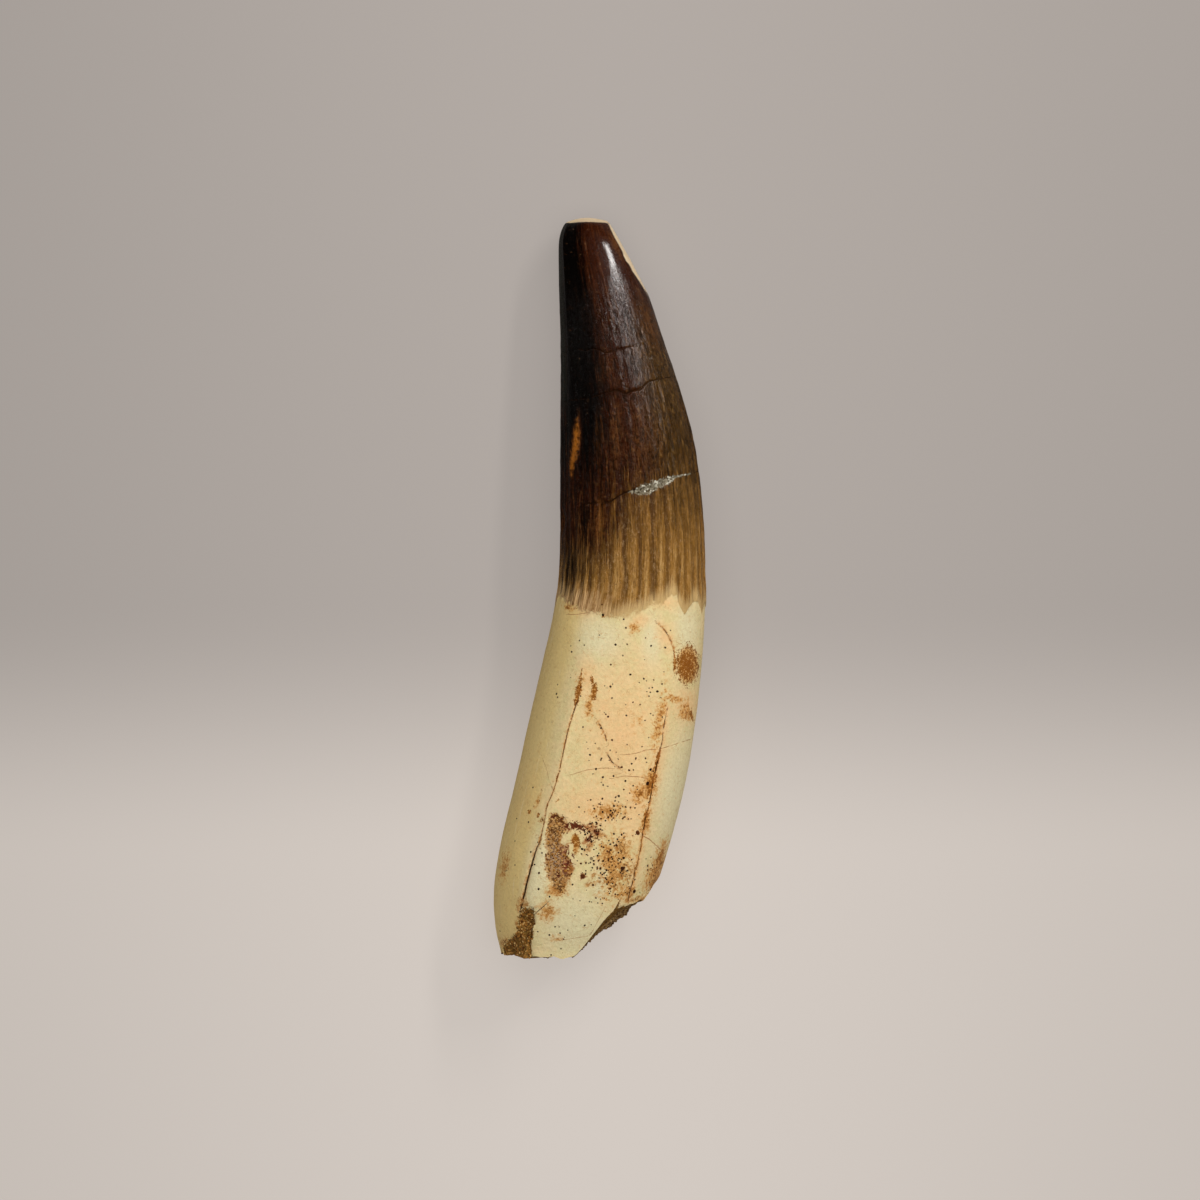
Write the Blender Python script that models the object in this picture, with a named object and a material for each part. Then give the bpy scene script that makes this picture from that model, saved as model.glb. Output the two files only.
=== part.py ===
"""Fossil tooth of a spinosaurid dinosaur with its root, lying on its side.

The crown points along +Y and the broken root end along -Y. +Z is up. The origin
is on the surface that the tooth lies on, under the middle of the tooth.
"""

import math

import bmesh
import bpy
import numpy as np

# Driving dimensions. Every length down to the materials is in millimetres, and
# every place along the tooth is a distance from its tip.
MM = 0.001
TOOTH_LENGTH = 105.3
CROWN_LENGTH = 55.4
ROOT_WALL = 2.3
INFILL_GAP = 0.3

# Outline of the tooth at distances from the tip: left and right edge seen from
# above, then underside and upper side seen from the side. It runs from the worn
# tip through the curved crown, the edge of the enamel and the swollen middle of
# the root to the narrowed root end.
OUTLINE = (
    (0.0, -4.1, 0.8, 2.6, 6.7),
    (0.7, -4.75, 1.45, 2.2, 7.5),
    (2.5, -5.55, 3.1, 1.8, 8.9),
    (6.8, -5.8, 5.4, 1.3, 10.6),
    (11.0, -5.8, 6.95, 0.9, 11.7),
    (15.3, -5.7, 8.3, 0.6, 12.7),
    (23.8, -5.65, 11.25, 0.1, 14.5),
    (32.3, -5.65, 13.55, -0.3, 15.9),
    (40.8, -5.65, 14.6, -0.35, 16.8),
    (49.2, -5.7, 15.05, -0.35, 17.3),
    (53.5, -6.0, 15.1, -0.35, 17.6),
    (57.0, -6.8, 15.1, -0.35, 17.9),
    (64.1, -8.45, 14.85, -0.35, 18.4),
    (72.6, -10.5, 13.95, -0.35, 18.9),
    (81.1, -12.35, 12.5, -0.35, 19.1),
    (89.6, -14.4, 10.25, -0.3, 18.8),
    (95.9, -15.3, 8.3, -0.1, 17.9),
    (100.2, -15.2, 6.4, 0.3, 16.6),
    (103.5, -14.6, 4.9, 1.0, 15.2),
    (105.3, -13.8, 3.9, 1.5, 14.3),
)

# The tip is worn to a small slanted end, a low dome of bare dentine.
TIP_EDGE = 0.58
TIP_SLANT = 0.45
TIP_SLANT_LENGTH = 4.0
TIP_DOME_SIZE = 0.6
TIP_DOME_RISES = (0.12, 0.16)

# The flat that wear left on the right of the tip: its normal, and how far along
# the normal it lies.
WEAR_NORMAL = (0.874, 0.487, 0.09)
WEAR_OFFSET = 1.2

# Fluting of the enamel: ridges that run from near the tip to the enamel's edge.
FLUTES = 36
COLUMNS_PER_FLUTE = 3
FLUTE_DEPTH = 0.3
FLUTES_FADE_IN = (4.0, 24.0)
FLUTES_FADE_OUT = (53.4, 55.4)
ENAMEL_THICKNESS = 0.12
ENAMEL_EDGE = (55.2, 55.8)

# The two cutting edges, low keels along the crown.
KEEL_ANGLES = (145.0, -35.0)
KEEL_HALF_WIDTH = 9.0
KEEL_HEIGHT = 0.3
KEELS_FADE_OUT = (39.0, 47.0)

# The flats of the root, each with its middle angle, its half width in degrees
# and its depth. Blunt edges stand between them.
ROOT_FLATS = (
    (88.0, 33.0, 0.55),
    (153.0, 32.0, 0.60),
    (20.0, 35.0, 0.45),
    (-52.0, 37.0, 0.40),
    (-132.0, 43.0, 0.35),
)
ROOT_FLATS_FADE_IN = (55.0, 68.0)

# The break across the root end, at places from left to right, along its upper
# and its lower edge.
BREAK_PLACES = (-12.7, -3.2, -1.9, -0.6, 0.4, 1.6, 2.6, 4.9, 6.2, 7.2, 8.3, 9.2)
BREAK_UPPER = (105.2, 105.2, 102.9, 101.4, 100.2, 98.5, 97.2, 97.3, 97.3, 95.7, 94.0, 92.6)
BREAK_LOWER = (104.7, 104.9, 103.1, 102.2, 101.9, 101.3, 100.4, 98.2, 97.5, 95.8, 94.1, 92.7)
BREAK_HEIGHT = 17.9
BREAK_JAG = 0.18

# The notch in the upper wall at the root end: its inner edge at these angles,
# and how the columns of the mesh shift to give it a steep right side.
NOTCH_ANGLES = (121.0, 133.0, 143.0, 153.0)
NOTCH_EDGE = (97.8, 98.2, 101.3, 104.2)
COLUMN_ANGLES = (100.0, 113.4, 120.0, 126.7, 133.4, 160.0)
COLUMN_ANGLES_AT_NOTCH = (100.0, 116.5, 119.6, 121.3, 132.5, 160.0)
COLUMN_SHIFT_FADE = (0.2, 0.8)

# The pulp cavity, which narrows to a round top over a length of the root, the
# rings along it, and the sandstone in it.
CAVITY_TOP = 86.0
CAVITY_TAPER = 12.0
CAVITY_SHARES = (0.0, 0.06, 0.14, 0.25, 0.4, 0.56, 0.72, 0.86, 0.96)
INFILL_TOP = 86.5
INFILL_STEP = 0.8
INFILL_COLUMNS = 7.5
INFILL_COLUMNS_AT_NOTCH = (116.0, 122.0, 123.4, 128.0, 133.0, 139.3, 146.2, 153.1, 160.0, 166.7, 173.3)
INFILL_PROUD_PLACES = (-5.0, -3.2, 0.0, 5.0, 7.0)
INFILL_PROUD = (-0.7, -0.4, 0.45, 0.75, 0.0)
INFILL_LUMP = 0.35
NOTCH_FILL_ANGLES = (123.4, 139.3)
NOTCH_FILL_RECESS = 0.45
NOTCH_FILL_SHARES = (0.15, 0.6, 1.0)
CAP_INSET = 0.4
CAP_SIZES = (1.0, 0.78, 0.52, 0.26)

# Where the rings of the crown and, as shares of its length, of the root lie.
CROWN_RINGS = (
    1.9, 3.4, 5.2, 7.6, 10.4, 13.6, 17.2, 21.0, 25.0, 29.2,
    33.4, 37.4, 41.2, 44.8, 48.0, 50.6, 52.8, 54.4, CROWN_LENGTH,
)
ROOT_SHARES = (0.03, 0.10, 0.18, 0.27, 0.36, 0.45, 0.54, 0.63, 0.71, 0.79, 0.86, 0.92, 0.965, 1.0)

SHARP_ANGLE = math.radians(32.0)
SOLVER_START = 100.0
SOLVER_STEPS = 40


def curve_through(stations, values, places):
    """Cubic curve through the values at the stations, read at the places."""
    slopes = np.gradient(values, stations)
    places = np.clip(places, stations[0], stations[-1])
    i = np.clip(np.searchsorted(stations, places) - 1, 0, len(stations) - 2)
    span = stations[i + 1] - stations[i]
    t = (places - stations[i]) / span
    start = values[i] * (1 + 2 * t) * (1 - t) ** 2 + slopes[i] * span * t * (1 - t) ** 2
    end = values[i + 1] * t * t * (3 - 2 * t) + slopes[i + 1] * span * t * t * (t - 1)
    return start + end


def fade(value, low, high):
    """0 below low, 1 above high, smooth between."""
    t = np.clip((value - low) / (high - low), 0.0, 1.0)
    return t * t * (3 - 2 * t)


def share_across(angle, middle, half_width):
    """0 at the middle angle, 1 at half a width away and beyond."""
    away = np.abs((angle - middle + 180.0) % 360.0 - 180.0)
    return np.clip(away / half_width, 0.0, 1.0)


def dip(from_tip, angle):
    """How far the surface lies inside the oval outline."""
    depth = np.zeros(np.broadcast(from_tip, angle).shape)
    for middle, half_width, deep in ROOT_FLATS:
        across = share_across(angle, middle, half_width)
        depth += fade(from_tip, *ROOT_FLATS_FADE_IN) * deep * (1 - across**2)
    for middle in KEEL_ANGLES:
        keel = 1 - share_across(angle, middle, KEEL_HALF_WIDTH)
        depth -= KEEL_HEIGHT * keel * (1 - fade(from_tip, *KEELS_FADE_OUT))
    fluted = fade(from_tip, *FLUTES_FADE_IN) * (1 - fade(from_tip, *FLUTES_FADE_OUT))
    depth += FLUTE_DEPTH * fluted * (0.5 - 0.5 * np.cos(np.radians(FLUTES * angle)))
    depth += ENAMEL_THICKNESS * fade(from_tip, *ENAMEL_EDGE)
    return depth


def section(from_tip, angle, inset=0.0, size=1.0):
    """Points (x, y, z) of the surface, or of one that lies inset inside it."""
    stations, *edges = np.array(OUTLINE).T
    left, right, under, top = (curve_through(stations, edge, from_tip) for edge in edges)
    half_width, half_depth = (right - left) / 2, (top - under) / 2
    across, up = np.cos(np.radians(angle)), np.sin(np.radians(angle))
    lean = np.hypot(across / half_width, up / half_depth)
    depth = dip(from_tip, angle) + inset
    x = (left + right) / 2 + size * across * (half_width - depth / half_width / lean)
    z = (top + under) / 2 + size * up * (half_depth - depth / half_depth / lean)
    y = TOOTH_LENGTH / 2 - from_tip
    past_wear = WEAR_NORMAL[0] * x - WEAR_NORMAL[1] * from_tip + WEAR_NORMAL[2] * z - WEAR_OFFSET
    x = x - np.maximum(past_wear, 0) / WEAR_NORMAL[0]
    return np.stack(np.broadcast_arrays(x, y, np.maximum(z, inset)), axis=-1)


def break_from_tip(x, z):
    """Place of the broken root end along the tooth, for a point across the root."""
    upper = np.interp(x, BREAK_PLACES, BREAK_UPPER)
    lower = np.interp(x, BREAK_PLACES, BREAK_LOWER)
    jag = BREAK_JAG * (np.sin(2.1 * x + 0.9 * z) + 0.7 * np.sin(3.7 * z - 1.3 * x))
    return np.minimum(lower + (upper - lower) * np.clip(z / BREAK_HEIGHT, 0, 1) + jag, TOOTH_LENGTH)


def infill_end(x, z):
    """Place of the sandstone's broken end along the tooth."""
    lump = np.sin(1.9 * x + 0.4) * np.cos(1.4 * z + 0.8)
    proud = np.interp(x, INFILL_PROUD_PLACES, INFILL_PROUD)
    return np.minimum(break_from_tip(x, z) + proud + INFILL_LUMP * lump, TOOTH_LENGTH - 0.1)


def meet(end_at, angle, inset):
    """Where the surface, followed along each angle, meets a broken end."""
    end = np.full(angle.shape, SOLVER_START)
    for _ in range(SOLVER_STEPS):
        points = section(end, angle, inset)
        end = (end + end_at(points[:, 0], points[:, 2])) / 2
    return end


def wall_end(angle, inset=0.0):
    """Where the wall of the root ends along each angle, at the break or at the notch."""
    end = meet(break_from_tip, angle, inset)
    in_notch = (angle > NOTCH_ANGLES[0]) & (angle < NOTCH_ANGLES[-1])
    return np.where(in_notch, np.minimum(end, np.interp(angle, NOTCH_ANGLES, NOTCH_EDGE)), end)


def cavity_size(past_top):
    """Share of its full width that the cavity has at a distance past its top."""
    return np.sqrt(1 - (1 - np.clip(past_top / CAVITY_TAPER, 0, 1)) ** 2)


def middle_point(from_tip):
    """The middle of the section at a place along the tooth."""
    return section(np.full(4, from_tip), np.arange(4) * 90.0).mean(axis=0)


def add_ring(mesh, points):
    return [mesh.verts.new(point * MM) for point in points]


def bridge(mesh, first, second, slot):
    """Faces between two rings. The first has as many points as the second, or twice as many."""
    for i, corner in enumerate(second):
        following = second[(i + 1) % len(second)]
        if len(first) == len(second):
            faces = [(first[i], first[(i + 1) % len(first)], following, corner)]
        else:
            a, b, c = first[2 * i], first[2 * i + 1], first[(2 * i + 2) % len(first)]
            faces = [(a, b, corner), (b, following, corner), (b, c, following)]
        for face in faces:
            mesh.faces.new(face).material_index = slot


def close(mesh, ring, point, slot):
    """Triangles from a ring to one point."""
    pole = mesh.verts.new(point * MM)
    for a, b in zip(ring, ring[1:] + ring[:1]):
        mesh.faces.new((a, b, pole)).material_index = slot


def make_object(name, mesh, materials):
    bmesh.ops.recalc_face_normals(mesh, faces=mesh.faces)
    if mesh.calc_volume(signed=True) < 0:
        bmesh.ops.reverse_faces(mesh, faces=mesh.faces)
    data = bpy.data.meshes.new(name)
    mesh.to_mesh(data)
    mesh.free()
    data.shade_smooth()
    data.set_sharp_from_angle(angle=SHARP_ANGLE)
    for material in materials:
        data.materials.append(material)
    made = bpy.data.objects.new(name, data)
    bpy.context.scene.collection.objects.link(made)
    return made


def make_material(name, colour, roughness):
    material = bpy.data.materials.new(name)
    material.use_nodes = True
    shader = material.node_tree.nodes["Principled BSDF"]
    shader.inputs["Base Color"].default_value = (*colour, 1.0)
    shader.inputs["Roughness"].default_value = roughness
    shader.inputs["Metallic"].default_value = 0.0
    return material


def make_tooth(enamel, dentine):
    """Crown and root, which grew as one piece, down to the break and the open pulp cavity."""
    mesh = bmesh.new()
    enamel_slot, dentine_slot = 0, 1
    columns = FLUTES * COLUMNS_PER_FLUTE
    angles = np.arange(columns) * 360.0 / columns
    slant = TIP_SLANT * np.sin(np.radians(angles))
    worn = section(TIP_EDGE + slant, angles)
    middle = worn.mean(axis=0)
    edge_rise, middle_rise = TIP_DOME_RISES
    tip_ring = add_ring(mesh, worn)
    dome = add_ring(mesh, middle + (worn - middle) * TIP_DOME_SIZE + np.array((0, edge_rise, 0)))
    bridge(mesh, tip_ring, dome, dentine_slot)
    close(mesh, dome, middle + np.array((0, middle_rise, 0)), dentine_slot)
    above = tip_ring
    for from_tip in CROWN_RINGS:
        slanted = from_tip + slant * (1 - fade(from_tip, 0, TIP_SLANT_LENGTH))
        ring = add_ring(mesh, section(slanted, angles))
        bridge(mesh, above, ring, enamel_slot)
        above = ring

    # Every second column goes on down the root.
    angles = angles[::2]
    at_end = np.where(
        (angles > COLUMN_ANGLES[0]) & (angles < COLUMN_ANGLES[-1]),
        np.interp(angles, COLUMN_ANGLES, COLUMN_ANGLES_AT_NOTCH),
        angles,
    )
    end = wall_end(at_end)
    for share in ROOT_SHARES:
        turned = angles + (at_end - angles) * fade(share, *COLUMN_SHIFT_FADE)
        ring = add_ring(mesh, section(CROWN_LENGTH + (end - CROWN_LENGTH) * share, turned))
        bridge(mesh, above, ring, dentine_slot)
        above = ring
    inner_end = wall_end(at_end, ROOT_WALL)
    for share in CAVITY_SHARES:
        depth = inner_end + (CAVITY_TOP - inner_end) * share
        ring = add_ring(mesh, section(depth, at_end, ROOT_WALL, cavity_size(depth - CAVITY_TOP)))
        bridge(mesh, above, ring, dentine_slot)
        above = ring
    close(mesh, above, middle_point(CAVITY_TOP), dentine_slot)
    return make_object("tooth", mesh, [enamel, dentine])


def make_infill(sandstone):
    """The sandstone that fills the pulp cavity and stands in the notch of the wall."""
    mesh = bmesh.new()
    around = np.arange(-180.0, INFILL_COLUMNS_AT_NOTCH[0] - INFILL_COLUMNS / 2, INFILL_COLUMNS)
    angles = np.concatenate([around, INFILL_COLUMNS_AT_NOTCH])
    inset = ROOT_WALL + INFILL_GAP
    end = meet(infill_end, angles, inset)
    rim = np.minimum(wall_end(angles, ROOT_WALL) + INFILL_GAP, end - INFILL_STEP)
    above = None
    for share in reversed(CAVITY_SHARES):
        depth = rim + (INFILL_TOP - rim) * share
        ring = add_ring(mesh, section(depth, angles, inset, cavity_size(depth - INFILL_TOP)))
        if above:
            bridge(mesh, above, ring, 0)
        else:
            close(mesh, ring, middle_point(INFILL_TOP), 0)
        above = ring
    # Past the wall's edge it widens where it fills the notch.
    in_notch = (angles >= NOTCH_FILL_ANGLES[0]) & (angles <= NOTCH_FILL_ANGLES[1])
    outer = np.where(in_notch, NOTCH_FILL_RECESS, inset)
    for share in NOTCH_FILL_SHARES:
        ring = add_ring(mesh, section(rim + (end - rim) * share, angles, outer))
        bridge(mesh, above, ring, 0)
        above = ring
    # The broken end of the sandstone.
    points = section(end, angles, inset + CAP_INSET)
    middle = points.mean(axis=0)
    for size in CAP_SIZES:
        inner = middle + (points - middle) * size
        inner[:, 1] = TOOTH_LENGTH / 2 - infill_end(inner[:, 0], inner[:, 2])
        ring = add_ring(mesh, inner)
        bridge(mesh, above, ring, 0)
        above = ring
    middle[1] = TOOTH_LENGTH / 2 - infill_end(middle[0], middle[2])
    close(mesh, above, middle, 0)
    return make_object("sandstone_infill", mesh, [sandstone])


def centre_on_origin(objects):
    """Moves the meshes so that their common box is centred over the origin."""
    points = np.array([vertex.co for made in objects for vertex in made.data.vertices])
    centre = (points.min(axis=0) + points.max(axis=0)) / 2
    for made in objects:
        for vertex in made.data.vertices:
            vertex.co.x -= centre[0]
            vertex.co.y -= centre[1]


for old in list(bpy.data.objects):
    bpy.data.objects.remove(old)

ENAMEL = make_material("Enamel", (0.060, 0.030, 0.012), 0.25)
DENTINE = make_material("Dentine", (0.72, 0.58, 0.34), 0.60)
SANDSTONE = make_material("Sandstone", (0.17, 0.105, 0.050), 0.90)

centre_on_origin([make_tooth(ENAMEL, DENTINE), make_infill(SANDSTONE)])
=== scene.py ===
import math

import bmesh
import bpy
import numpy as np
from mathutils import Matrix, Vector
from mathutils.bvhtree import BVHTree


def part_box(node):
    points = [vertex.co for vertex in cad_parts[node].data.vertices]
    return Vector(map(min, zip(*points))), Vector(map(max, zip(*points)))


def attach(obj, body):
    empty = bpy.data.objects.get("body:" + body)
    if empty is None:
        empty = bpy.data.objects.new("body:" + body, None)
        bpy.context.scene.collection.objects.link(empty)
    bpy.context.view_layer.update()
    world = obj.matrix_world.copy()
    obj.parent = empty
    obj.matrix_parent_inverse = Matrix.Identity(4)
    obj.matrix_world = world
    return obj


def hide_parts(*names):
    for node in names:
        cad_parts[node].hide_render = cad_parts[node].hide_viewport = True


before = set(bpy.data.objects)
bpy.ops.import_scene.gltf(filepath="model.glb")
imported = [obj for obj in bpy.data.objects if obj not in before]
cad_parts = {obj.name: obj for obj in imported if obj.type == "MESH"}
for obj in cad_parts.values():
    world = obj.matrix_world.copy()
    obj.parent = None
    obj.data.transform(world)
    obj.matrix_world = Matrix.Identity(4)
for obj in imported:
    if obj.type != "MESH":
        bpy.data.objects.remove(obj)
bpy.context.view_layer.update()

# The view. The picture looks straight down on the tooth through a long lens, so its
# outline is nearly true to scale. The camera comes first, because marks on the tooth
# are placed by the pixels at which they show. Lengths are in millimetres throughout.
MM = 0.001
PICTURE_SIZE = 1200.0
PIXEL = 0.1415
LENS = 200.0
SENSOR = 36.0
AIM = np.array((0.07, -1.97, 9.0))
eye_distance = PICTURE_SIZE * PIXEL * LENS / SENSOR
eye = AIM + (0.0, 0.0, eye_distance)

camera = bpy.data.cameras.new("View from above")
camera.lens = LENS
camera.sensor_width = SENSOR
camera_object = bpy.data.objects.new("View from above", camera)
camera_object.location = eye * MM
bpy.context.scene.collection.objects.link(camera_object)
bpy.context.scene.camera = camera_object


def pixels_of(points):
    """The pixels, across and down the picture, at which points show."""
    nearness = eye_distance / (eye[2] - points[..., 2])
    across = PICTURE_SIZE / 2 + (points[..., 0] - AIM[0]) * nearness / PIXEL
    down = PICTURE_SIZE / 2 - (points[..., 1] - AIM[1]) * nearness / PIXEL
    return across, down


def sight(across, down):
    """The direction in which the camera looks through a pixel."""
    half = PICTURE_SIZE / 2
    return Vector(((across - half) * PIXEL, (half - down) * PIXEL, -eye_distance))


# The form of the tooth. Crown and root grew as one piece, a long cone that curves to
# one side, oval across and open at the broken root end. The form is measured from the
# CAD tooth with rays, as a share of the section's half sizes at each angle round it.
FAR = 60.0
INSIDE_HEIGHT = 5.0
WHOLE_FROM, WHOLE_TO = 1.0, 87.0
STATION_STEP = 0.5
ANGLE_STEP = 1.0
tooth_low, tooth_high = (np.array(corner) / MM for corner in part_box("tooth"))
tip_y = tooth_high[1]
tooth_length = tooth_high[1] - tooth_low[1]


def solid_of(node):
    """The faces of a CAD node in millimetres, to cast rays at."""
    mesh = bmesh.new()
    mesh.from_mesh(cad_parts[node].data)
    bmesh.ops.remove_doubles(mesh, verts=mesh.verts, dist=0.001 * MM)
    bmesh.ops.scale(mesh, vec=(1 / MM,) * 3, verts=mesh.verts)
    tree = BVHTree.FromBMesh(mesh)
    mesh.free()
    return tree


def fade(value, low, high):
    """0 below low, 1 above high and smooth between."""
    t = np.clip((value - low) / (high - low), 0.0, 1.0)
    return t * t * (3 - 2 * t)


def band(value, rises_from, rises_to, falls_from, falls_to):
    """0, then 1, then 0 again as a value grows."""
    return fade(value, rises_from, rises_to) * (1 - fade(value, falls_from, falls_to))


def evened(values, spread, closed=False):
    """Values along the first axis, evened out over a spread given in steps."""
    reach = int(3 * spread + 1)
    weights = np.exp(-0.5 * (np.arange(-reach, reach + 1) / spread) ** 2)
    sides = [(reach, reach)] + [(0, 0)] * (values.ndim - 1)
    if closed:
        padded = np.pad(values, sides, mode="wrap")
    else:
        padded = np.pad(values, sides, mode="reflect", reflect_type="odd")
    total = sum(w * padded[i:i + len(values)] for i, w in enumerate(weights))
    return total / weights.sum()


cad_tooth = solid_of("tooth")


def section_edges(from_tip):
    """Left, right, under and top edge of the tooth at a place along it."""
    y = tip_y - from_tip
    z = INSIDE_HEIGHT
    for _ in range(3):
        left = cad_tooth.ray_cast((-FAR, y, z), (1, 0, 0))[0].x
        right = cad_tooth.ray_cast((FAR, y, z), (-1, 0, 0))[0].x
        x = (left + right) / 2
        under = cad_tooth.ray_cast((x, y, -FAR), (0, 0, 1))[0].z
        top = cad_tooth.ray_cast((x, y, FAR), (0, 0, -1))[0].z
        z = (under + top) / 2
    return left, right, under, top


SLOPE_STEPS = 12
whole_stations = np.arange(WHOLE_FROM, WHOLE_TO, STATION_STEP)
whole_edges = evened(np.array([section_edges(s) for s in whole_stations]), 2.0)
start_slopes = (whole_edges[2] - whole_edges[0]) / (2 * STATION_STEP)
end_slopes = (whole_edges[-1] - whole_edges[-1 - SLOPE_STEPS]) / (SLOPE_STEPS * STATION_STEP)


def section_at(from_tip):
    """Middle (x, z) and half sizes (x, z) of the section at places along the tooth."""
    before = np.minimum(from_tip - whole_stations[0], 0.0)
    past = np.maximum(from_tip - whole_stations[-1], 0.0)
    left, right, under, top = (
        np.interp(from_tip, whole_stations, whole_edges[:, i])
        + before * start_slopes[i] + past * end_slopes[i]
        for i in range(4)
    )
    return (left + right) / 2, (under + top) / 2, (right - left) / 2, (top - under) / 2


def place(from_tip, angle, share):
    """Points at an angle round the section, at a share of its half sizes."""
    middle_x, middle_z, half_width, half_depth = section_at(from_tip)
    turn = np.radians(angle)
    x = middle_x + share * half_width * np.cos(turn)
    z = middle_z + share * half_depth * np.sin(turn)
    return np.stack(np.broadcast_arrays(x, tip_y - from_tip, z), axis=-1)


def angle_of(points):
    """The angle round the section at which points lie."""
    middle_x, middle_z, half_width, half_depth = section_at(tip_y - points[:, 1])
    turn = np.arctan2((points[:, 2] - middle_z) / half_depth, (points[:, 0] - middle_x) / half_width)
    return np.degrees(turn) % 360.0


def wall_share(from_tip, angle, inside=False):
    """Share at which a ray across the tooth meets its outer surface, or the cavity's
    wall from inside, and which way that surface faces. None where it meets nothing."""
    middle, rim = place(from_tip, angle, 0.0), place(from_tip, angle, 1.0)
    outward = rim - middle
    start = middle if inside else middle + 2 * outward
    direction = outward if inside else -outward
    _, normal, _, distance = cad_tooth.ray_cast(start.tolist(), direction.tolist())
    if distance is None:
        return None
    away = distance / np.linalg.norm(outward)
    return (away if inside else 2 - away), normal


SEARCH_STEP = 0.1
FACE_TURN = math.radians(20.0)
LEAST_SHARE, MOST_SHARE = 0.2, 1.3


def wall_end(angle, inside=False):
    """How far from the tip the wall of the root reaches at an angle: the ray then misses
    it, or meets the broken face, which looks another way."""
    facing = wall_share(WHOLE_TO + 1, angle, inside)[1].copy()
    for from_tip in np.arange(WHOLE_TO + 1, tooth_length, SEARCH_STEP):
        met = wall_share(from_tip, angle, inside)
        if met is None or met[1].angle(facing) > FACE_TURN or not LEAST_SHARE < met[0] < MOST_SHARE:
            return from_tip - SEARCH_STEP
        facing = facing.lerp(met[1], 0.15)
    return tooth_length


grid_stations = np.arange(WHOLE_FROM, tooth_length, STATION_STEP)
grid_angles = np.arange(0.0, 360.0, ANGLE_STEP)
grid_ends = np.array([wall_end(angle) for angle in grid_angles])
shares = np.ones((len(grid_stations), len(grid_angles)))
for row, from_tip in enumerate(grid_stations):
    walled = np.flatnonzero(from_tip < grid_ends - STATION_STEP / 2)
    if len(walled) == 0:
        shares[row] = shares[row - 1]
        continue
    measured = [wall_share(from_tip, grid_angles[column])[0] for column in walled]
    shares[row] = np.interp(grid_angles, grid_angles[walled], measured, period=360.0)

# The crown's faceted flutes are evened out here; finer ones are put back later.
CROWN_EVENING, ROOT_EVENING = 4.0, 1.5
crown_shares = evened(shares.T, CROWN_EVENING / ANGLE_STEP, closed=True).T
root_shares = evened(shares.T, ROOT_EVENING / ANGLE_STEP, closed=True).T
rootward = fade(grid_stations, 52.0, 57.0)[:, None]
shares = evened(crown_shares + (root_shares - crown_shares) * rootward, 1.8)


def share_at(from_tip, angle):
    """The measured share, read between the stations and angles of the grid."""
    row = np.clip((from_tip - WHOLE_FROM) / STATION_STEP, 0, len(grid_stations) - 1.001)
    column = (angle % 360.0) / ANGLE_STEP
    i, j = row.astype(int), column.astype(int) % len(grid_angles)
    u, v = row - i, column - np.floor(column)
    following = (j + 1) % len(grid_angles)
    near = shares[i, j] * (1 - v) + shares[i, following] * v
    far = shares[i + 1, j] * (1 - v) + shares[i + 1, following] * v
    return near * (1 - u) + far * u


# Cracks. The long ones run down the root, three short ones cross the crown. Each is a
# list of places in the picture with the crack's width there, all in pixels, and is laid
# on the surface along the camera's rays. Those of the underside are seen through it.
LEFT_CRACK = (
    (578.5, 694, 0.4), (577, 701, 0.8), (572, 715, 0.9), (567, 733, 0.9), (562.5, 754, 0.6),
    (559, 771, 0.5), (553, 791, 0.5), (546, 807, 0.5), (545, 817, 0.5), (541.8, 830, 0.6),
    (540, 840, 0.8), (536.7, 846, 1.3), (534.5, 851, 1.9), (530.6, 864, 2.2), (526, 882, 2.2),
    (522, 899, 2.1), (519, 914.5, 1.8),
)
RIGHT_CRACK = (
    (668, 707, 0.4), (665.5, 720, 0.7), (664, 729, 0.9), (663, 740, 0.7), (661, 750, 1.0),
    (658.5, 762, 1.3), (656, 772.5, 1.5), (653.6, 780, 1.5), (652.5, 791, 1.3), (650, 804, 1.0),
    (647, 816, 1.1), (644, 830, 1.2), (642.7, 836, 0.7), (641.4, 846.5, 0.5), (639, 857, 0.5),
    (637, 866, 0.6), (635, 874, 0.9), (633, 885, 1.1), (631, 890.5, 1.1), (628.6, 900, 1.0),
)
UPPER_CROWN_CRACK = (
    (566, 352, 0.7), (573, 351, 0.9), (579, 349, 1.6), (586, 351, 1.2), (592, 348.5, 1.8),
    (599, 350, 1.5), (605, 353, 1.5), (611, 352, 1.2), (620, 348.5, 1.2), (631, 347, 1.3),
    (639, 344.5, 0.8), (646, 344, 0.7),
)
MIDDLE_CROWN_CRACK = (
    (563, 402, 0.8), (571, 400, 1.0), (580, 399.5, 1.1), (589, 398, 1.2), (597, 395.5, 1.3),
    (606, 393, 2.0), (613, 390, 2.2), (619, 390.5, 2.6), (625, 394, 2.4), (631, 391, 2.2),
    (641, 389, 1.4), (647, 383, 1.0), (650, 381, 1.2), (663, 378, 1.0), (676, 376, 1.2),
)
LOWER_CROWN_CRACK = (
    (577, 505, 0.7), (594, 503, 2.2), (602, 502.6, 2.8), (610, 502, 1.8), (616, 498, 1.6),
    (621, 494, 2.4), (632, 490, 2.0), (648, 488, 1.2), (664, 481, 1.0), (674, 477, 1.2),
    (682, 476.5, 0.8), (690, 474, 1.0), (699, 471, 0.7),
)
LAYING_STEP = 1.5


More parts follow.
